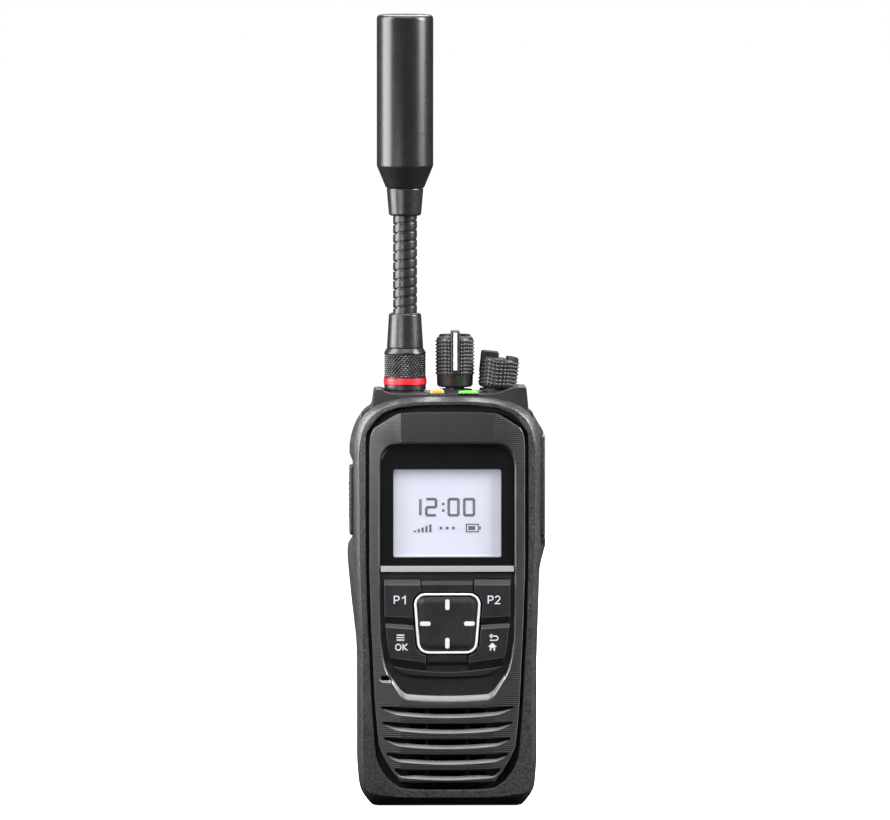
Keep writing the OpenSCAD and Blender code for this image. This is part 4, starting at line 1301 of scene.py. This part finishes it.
def knob_line(rib_top):
    """White line that runs up the rib into its rounded top corner."""
    sunk = 0.07
    radius = RIB_CORNER - sunk
    path = [(RIB_Y + sunk, LINE_FOOT)]
    for a in map(math.radians, (0, 10, 20, 30)):
        path.append((RIB_Y + sunk + radius * (1 - math.cos(a)), rib_top - RIB_CORNER + radius * math.sin(a)))
    rings = []
    for i, (y, z) in enumerate(path):
        wide = 0.66 if z < rib_top - 0.6 else 0.8
        before, after = path[max(0, i - 1)], path[min(len(path) - 1, i + 1)]
        along = Vector((after[0] - before[0], after[1] - before[1])).normalized()
        inward = Vector((along.y, -along.x)) * 0.35
        rings.append([(-wide, y, z), (wide, y, z), (wide, y + inward.x, z + inward.y),
                      (-wide, y + inward.x, z + inward.y)])
    return loft(rings)


for name, matrix, turn, size in (
    ("selector", AT_SELECTOR, 0.0, (5.88, 1.6, 18.6, 20, 5.5, 10, 1.14)),
    ("volume", AT_VOLUME, -math.pi / 2, (6.05, 1.1, 11.8, 13, 2.1, 7, 1.17)),
):
    place = matrix @ Matrix.Rotation(turn, 4, "Z")
    body = f"{name}_knob"
    make(f"{name}_grip", placed(knob(*size), place), KNOB, body, "knob_plastic", [body], sharp=35)
    make(f"{name}_line", placed(knob_line(size[3]), place), WHITE, body, "white_print",
         [f"{name}_inlay"], bevel=0.06)

# ---------------------------------------------------------------- button and light on the deck

outline = rectangle(button_low.x + 0.8, button_low.y, button_high.x - 0.8, button_high.y, 1.2, 5)
make("emergency_cap", plate(outline, button_low.z, button_high.z, 0.6, 4, facing_up, 0.25), ORANGE,
     "emergency_button", "signal_orange", ["emergency_button"])
outline = rectangle(light_low.x, light_low.y, light_high.x, light_high.y, 0.7, 4)
make("status_lens", plate(outline, light_low.z, light_high.z, 0.5, 4, facing_up, 0.15), GREEN,
     "handset", "light_green", ["status_light"])

# ---------------------------------------------------------------- sides


def ptt_grip():
    """Push-to-talk button: a long pad with a row of ridges, and the flange that holds it in."""
    outline = rectangle(ptt_low.y + 0.4, ptt_low.z + 0.75, ptt_high.y - 0.4, ptt_high.z - 0.75, 0.9, 4)
    parts = [plate(outline, -27.1, ptt_low.x, 0.7, 4, facing_side, 0.1)]
    for i in range(7):
        z = 93.2 + 1.7 * i
        ridge = rectangle(ptt_low.y + 2.6, z - 0.35, ptt_high.y - 2.4, z + 0.35, 0.3)
        parts.append(plate(ridge, ptt_low.x + 0.4, ptt_low.x - 0.12, 0.2, 2, facing_side))
    flange = rectangle(ptt_low.y, ptt_low.z, ptt_high.y, ptt_high.z, 0.8)
    parts.append(plate(flange, -27.1, -27.9, 0.2, 2, facing_side))
    return joined(*parts)


make("ptt_grip", ptt_grip(), KEY, "ptt_button", "key_rubber", ["ptt_button"])


def side_cover():
    """Cover of the accessory jack: a plate with a recess for its screw, on a hinge."""
    outline = rectangle(cover_low.y, 86.5, cover_high.y, cover_high.z, 1.0, 4)
    near, far = cover_low.y, cover_high.y
    bm = union(
        plate(outline, cover_low.x, 31.6, 0.45, 3, facing_side),
        box((30.3, 31.5), (near + 1.7, far - 1.7), (HINGE_Z, 87.5)),
        rod((HINGE_X, near + 1.7, HINGE_Z), (HINGE_X, far - 1.7, HINGE_Z), 0.7, 24),
        rod((HINGE_X, near + 0.3, HINGE_Z), (HINGE_X, far - 0.3, HINGE_Z), 0.35, 16),
    )
    cuts = [rod((29, screw_y, screw_z), (33, screw_y, screw_z), 1.0, 24),
            rod((30.8, screw_y, screw_z), (33, screw_y, screw_z), 2.3, 32)]
    for i in range(4):
        z = 93 + 1.5 * i
        cuts.append(box((31.35, 33), (near + 2.2, far - 2.2), (z, z + 0.7)))
    return without(bm, joined(*cuts))


make("side_cover", side_cover(), CASE, "jack_cover", "case_plastic", ["jack_cover"], bevel=0.08)


def cover_screw():
    """Slotted screw with a round head, turned to point into the case's side."""
    head = lathe(soft([(0, 2.25), (1.85, 2.25), (2.1, 2.45), (2.1, 2.8), (1.75, 2.95), (0, 2.95)], 0.12), 48)
    shank = lathe([(0, 0), (0.7, 0), (0.9, 0.25), (0.9, 2.4), (0, 2.4)], 24)
    bm = without(union(head, shank), box((-0.3, 0.3), (-3, 3), (2.6, 4)))
    at_screw = Matrix.Translation((screw_low.x, screw_y, screw_z))
    return placed(bm, at_screw @ Matrix.Rotation(math.pi / 2, 4, "Y"))


make("cover_screw", cover_screw(), SCREW, "jack_screw", "black_screw", ["jack_screw"])

# ---------------------------------------------------------------- antenna

SLEEVE_FOOT = span("antenna_sleeve")[0].z
RING_LOW, RING_HIGH = span("marker_ring")[0].z, span("marker_ring")[1].z
SHOULDER_Z = 145.3
FERRULE_Z = span("antenna_sleeve")[1].z
NECK_LOW = 158.0
NECK_HIGH = 189.4
CONE_Z, TUBE_Z = span("radome_base")[0].z, span("radome")[0].z
TOP_Z = span("radome")[1].z


KNURLS = 34
KNURL_PITCH = 1.3


def diamond(a, z):
    """Diamond knurl of the sleeve."""
    if not RING_HIGH + 0.45 < z < SHOULDER_Z - 0.2:
        return 0.0
    u = (a * KNURLS / (2 * math.pi) + z / KNURL_PITCH) % 1
    v = (a * KNURLS / (2 * math.pi) - z / KNURL_PITCH) % 1
    return 0.4 * (math.sin(math.pi * u) * math.sin(math.pi * v)) ** 1.3 - 0.4


def sleeve():
    profile = [(0, SLEEVE_FOOT), (6.45, SLEEVE_FOOT), (6.7, SLEEVE_FOOT + 0.25), (6.7, RING_LOW - 0.1),
               (6.4, RING_LOW), (6.4, RING_HIGH), (6.7, RING_HIGH + 0.1), (6.7, RING_HIGH + 0.35)]
    steps = 56
    low, high = RING_HIGH + 0.45, SHOULDER_Z - 0.2
    profile += [(6.7, low + (high - low) * i / steps) for i in range(steps + 1)]
    profile += [(6.7, SHOULDER_Z), (6.62, SHOULDER_Z + 0.2), (6.05, FERRULE_Z - 0.25), (5.9, FERRULE_Z),
                (0, FERRULE_Z)]
    return lathe(profile, KNURLS * 8, diamond)


def antenna_piece(name, body, nodes, paint, slot, bm, **settings):
    make(name, placed(bm, AT_ANTENNA), paint, body, slot, nodes, **settings)


antenna_piece("knurled_sleeve", "antenna_base", ["antenna_sleeve"], ANTENNA, "antenna_black", sleeve(),
              sharp=30)
antenna_piece("antenna_seat", "handset", (), RUBBER, "seal_rubber", lathe(soft(
    [(4.2, DECK_Z - 0.3), (6.2, DECK_Z - 0.3), (6.2, SLEEVE_FOOT - 0.05), (4.2, SLEEVE_FOOT - 0.05)],
    0.15), 48, closed=True))
antenna_piece("red_ring", "antenna_base", ["marker_ring"], RED, "marker_red", lathe(soft(
    [(6.35, RING_LOW + 0.02), (6.9, RING_LOW + 0.02), (6.9, RING_HIGH - 0.02), (6.35, RING_HIGH - 0.02)],
    0.2, steps=3), 96, closed=True))
antenna_piece("ferrule_low", "antenna_base", ["lower_ferrule"], ANTENNA, "antenna_black", lathe(soft(
    [(0, FERRULE_Z + 0.01), (5.7, FERRULE_Z + 0.01), (5.86, FERRULE_Z + 0.3), (5.21, NECK_LOW - 0.5),
     (4.75, NECK_LOW), (4.3, NECK_LOW), (4.1, NECK_LOW - 0.35), (0, NECK_LOW - 0.35)], 0.2), 72))
antenna_piece("ferrule_high", "antenna_head", ["upper_ferrule"], ANTENNA, "antenna_black", lathe(soft(
    [(0, NECK_HIGH + 0.35), (4.1, NECK_HIGH + 0.35), (4.3, NECK_HIGH), (4.75, NECK_HIGH),
     (5.22, NECK_HIGH + 0.5), (5.92, CONE_Z - 0.3), (5.7, CONE_Z), (0, CONE_Z)], 0.2), 72))
antenna_piece("radome_cone", "antenna_head", ["radome_base"], RADOME, "radome_plastic", lathe(soft(
    [(0, CONE_Z), (5.9, CONE_Z), (6.26, CONE_Z + 0.3), (9.0, TUBE_Z - 0.25), (9.1, TUBE_Z - 0.02),
     (0, TUBE_Z - 0.02)], 0.3), 96))
dome = soft([(9.1, TUBE_Z + 0.05), (9.1, TUBE_Z + 20), (9.1, TOP_Z - 3), (9.1, TOP_Z), (6, TOP_Z),
             (0, TOP_Z)], 1.7, steps=8)
antenna_piece("radome_shell", "antenna_head", ["radome"], RADOME, "radome_plastic", lathe(
    [(8.0, TUBE_Z), (9.05, TUBE_Z)] + dome + [(0, TOP_Z - 1.5), (8.0, TOP_Z - 1.5)], 96, closed=True))

NECK_PITCH = (NECK_HIGH - NECK_LOW) / 6
STRIP_PITCH = 3.0
NECK_BORE = 2.4


def neck_radius(a, z):
    """Two strips wound into each other: rounded bands with a gap that climbs as it turns."""
    turn = ((z - NECK_LOW) / STRIP_PITCH - a / (2 * math.pi)) % 1
    band = abs(turn * 2 - 1)
    return 3.88 - (0.55 if band > 0.84 else 0.12 * band ** 4)


def neck_ring(z, radius, turn=72):
    places = [2 * math.pi * i / turn for i in range(turn)]
    return [(radius(a, z) * math.cos(a), radius(a, z) * math.sin(a), z) for a in places]


def neck_piece(index):
    """One of the six lengths of the gooseneck, over the link bodies whose CAD parts it hides; it rides on
    none of them.
    """
    low = NECK_LOW + NECK_PITCH * index
    rows = 42
    outer = [neck_ring(low + NECK_PITCH * k / rows, neck_radius) for k in range(rows + 1)]
    inner = [neck_ring(z, lambda a, z: NECK_BORE) for z in (low + NECK_PITCH, low)]
    bm = placed(loft(outer + inner, closed=True), AT_ANTENNA)
    links = [f"neck_link_{i}" for i in (index, index + 1) if 1 <= i <= 5]
    piece = make(f"gooseneck_{index + 1}", bm, ANTENNA, None, "antenna_black", links, sharp=40,
                 weighted=False)
    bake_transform(piece)


for index in range(6):
    neck_piece(index)

# ---------------------------------------------------------------- battery pack

PACK_FOOT, PACK_TOP = 1.2, 112.4
PACK = [(23.6, PACK_FOOT), (26, 4), (27.2, 8), (27.2, 40), (27.2, 80), (27.2, PACK_TOP)]
battery_front = span("battery_case")[0].y


def pack_ring(y, across, foot):
    """Outline of the battery pack at a depth, made narrower and standing on a higher foot."""
    scale = (PACK_TOP - foot) / (PACK_TOP - PACK_FOOT)
    points = [(x * across, foot + (z - PACK_FOOT) * scale) for x, z in PACK]
    line = to_middle(points, 1.6)
    return raised(whole(spread(line, 60) + [line[-1]]), y)


def battery_shell():
    """Battery pack with its latch recess, contact windows, grip grooves and label field."""
    front = battery_front
    bm = loft([pack_ring(*ring) for ring in (
        (front, 0.995, 1.3), (front + 0.3, 1, 1.2), (12.4, 1, 1.2), (13.6, 0.985, 1.6), (14.8, 0.93, 3.2),
        (15.7, 0.885, 4.9), (16.15, 0.855, 5.9), (BACK, 0.84, 6.5),
    )])
    cuts = [box((-10.4, 10.4), (14.2, 20), (-1, 15.6)),
            box((-6.4, 6.4), (front - 1, 15), (5.2, 10.4))]
    for i in range(-2, 3):
        cuts.append(box((i * 4 - 1.25, i * 4 + 1.25), (front - 1, front + 1), (12.8, 17.05)))
    for side in (-1, 1):
        for i in range(6):
            z = 24 + 4.2 * i
            cuts.append(box((side * 14.5 - 4.5, side * 14.5 + 4.5), (BACK - 0.5, 20), (z, z + 1.5)))
    cuts.append(plate(rectangle(-18, 52, 18, 102, 3, 5), 20, BACK - 0.3, 0.1, 1))
    return without(bm, joined(*cuts))


make("battery_shell", battery_shell(), BATTERY, "battery_pack", "battery_plastic", ["battery_case"])


def latch_grip():
    """Sliding latch with four grooves for a thumb, and the tongue that holds it."""
    low, high = span("battery_latch")
    bm = union(plate(rectangle(-10, 6.6, 10, 15.2, 1.0, 4), 14.5, high.y, 0.3, 2),
               box((-6, 6), (low.y, 15), (8, 10)))
    grooves = [rectangle(-8, 8 + 1.8 * i, 8, 8.9 + 1.8 * i, 0.3) for i in range(4)]
    return without(bm, joined(*(plate(groove, 18, high.y - 0.5, 0.1, 1) for groove in grooves)))


make("latch_grip", latch_grip(), KEY, "battery_latch", "battery_plastic", ["battery_latch"], bevel=0.08)

# ---------------------------------------------------------------- CAD parts that stay

KEPT = {
    "case_gasket": RUBBER, "lcd_module": BEZEL, "keypad_mat": RUBBER, "speaker": SPEAKER,
    "speaker_mesh": SPEAKER, "microphone": TIN, "main_board": BOARD, "rf_shield": TIN,
    "satellite_modem": TIN, "gps_patch": CERAMIC, "battery_terminals": GOLD,
    "antenna_connector": GOLD, "selector_switch": SCREW, "volume_control": SCREW,
    "knob_seals": RUBBER, "accessory_jack": SPEAKER, "ptt_switch": STEEL, "case_screws": STEEL,
    "pad_carrier": RUBBER, "selector_shaft": SCREW, "volume_shaft": SCREW, "antenna_plug": GOLD,
    "helix_element": COPPER, "battery_cells": CELL, "battery_contacts": GOLD,
}
for node, material in KEPT.items():
    thing = NODES[node]
    thing.data.materials.clear()
    thing.data.materials.append(material)

# ---------------------------------------------------------------- studio


def area_light(name, place, target, wide, high, power):
    data = bpy.data.lights.new(name, "AREA")
    data.shape = "RECTANGLE"
    data.size, data.size_y = wide, high
    data.energy = power
    thing = bpy.data.objects.new(name, data)
    bpy.context.scene.collection.objects.link(thing)
    thing.location = place
    thing.rotation_mode = "QUATERNION"
    thing.rotation_quaternion = (Vector(target) - Vector(place)).to_track_quat("-Z", "Y")
    thing.visible_camera = False


def around(azimuth, radius, z):
    """A point round the object; 0 is in front, and positive angles are to the right."""
    a = math.radians(azimuth)
    return (radius * math.sin(a), -radius * math.cos(a), z)


area_light("left_softbox", around(-82, 0.34, 0.345), (0, 0, 0.32), 0.25, 0.49, 5.0)
area_light("left_edge_light", around(-34, 0.22, 0.158), (0, 0, 0.10), 0.11, 0.05, 0.15)
area_light("right_softbox", around(73, 0.6, 0.50), (0, 0, 0.45), 0.29, 0.52, 12.5)
area_light("back_softbox", around(175, 0.8, 0.95), (0, 0, 0.13), 0.7, 0.5, 14)
area_light("top_softbox", (0, -0.3, 1.15), (0, 0, 0.1), 0.9, 1.2, 11)

floor_mesh = bmesh.new()
bmesh.ops.create_grid(floor_mesh, x_segments=4, y_segments=4, size=6)
mesh = bpy.data.meshes.new("floor")
floor_mesh.to_mesh(mesh)
floor_mesh.free()
floor = bpy.data.objects.new("floor", mesh)
bpy.context.scene.collection.objects.link(floor)
floor.location.z = -0.0002
pale = finish("floor_white", (0.80, 0.80, 0.80), (0.83, 0.83, 0.83), (0.8, 0.9), 0.05, 0.0,
              Emission_Color=(1, 1, 1, 1), Emission_Strength=1.0)
mesh.materials.append(pale)
floor.visible_glossy = False
floor.visible_diffuse = False

world = bpy.data.worlds.new("studio")
bpy.context.scene.world = world
world.use_nodes = True
tree = world.node_tree
tree.nodes.clear()
seen = add(tree, "ShaderNodeLightPath").outputs["Is Camera Ray"]
way = add(tree, "ShaderNodeTexCoord").outputs["Generated"]
height = add(tree, "ShaderNodeSeparateXYZ", {0: way}).outputs["Z"]
sky = ranged(tree, height, -0.1, 0.2, 0.015, 0.065)
dim = add(tree, "ShaderNodeBackground", {"Color": (1, 1, 1, 1), "Strength": sky})
bright = add(tree, "ShaderNodeBackground", {"Color": (1, 1, 1, 1), "Strength": 1.0})
both = add(tree, "ShaderNodeMixShader", {0: seen, 1: dim.outputs[0], 2: bright.outputs[0]})
add(tree, "ShaderNodeOutputWorld", {"Surface": both.outputs[0]})
bpy.context.scene.view_settings.view_transform = "Standard"

# The camera stands far off, a little to the left and a little above
LENS = 800.0
SENSOR = 36.0
VIEW_WIDTH = 285.7
aim = Vector((-0.77, FRONT, 127.7)) * MM
away = VIEW_WIDTH * MM * LENS / SENSOR
lift, turn = math.radians(3.3), math.radians(-1.1)
camera_data = bpy.data.cameras.new("camera")
camera_data.lens = LENS
camera_data.sensor_width = SENSOR
camera_data.clip_end = 50
camera = bpy.data.objects.new("camera", camera_data)
bpy.context.scene.collection.objects.link(camera)
back = Vector((math.sin(turn) * math.cos(lift), -math.cos(turn) * math.cos(lift), math.sin(lift)))
camera.location = aim + back * away
camera.rotation_mode = "QUATERNION"
camera.rotation_quaternion = (-back).to_track_quat("-Z", "Y")
bpy.context.scene.camera = camera
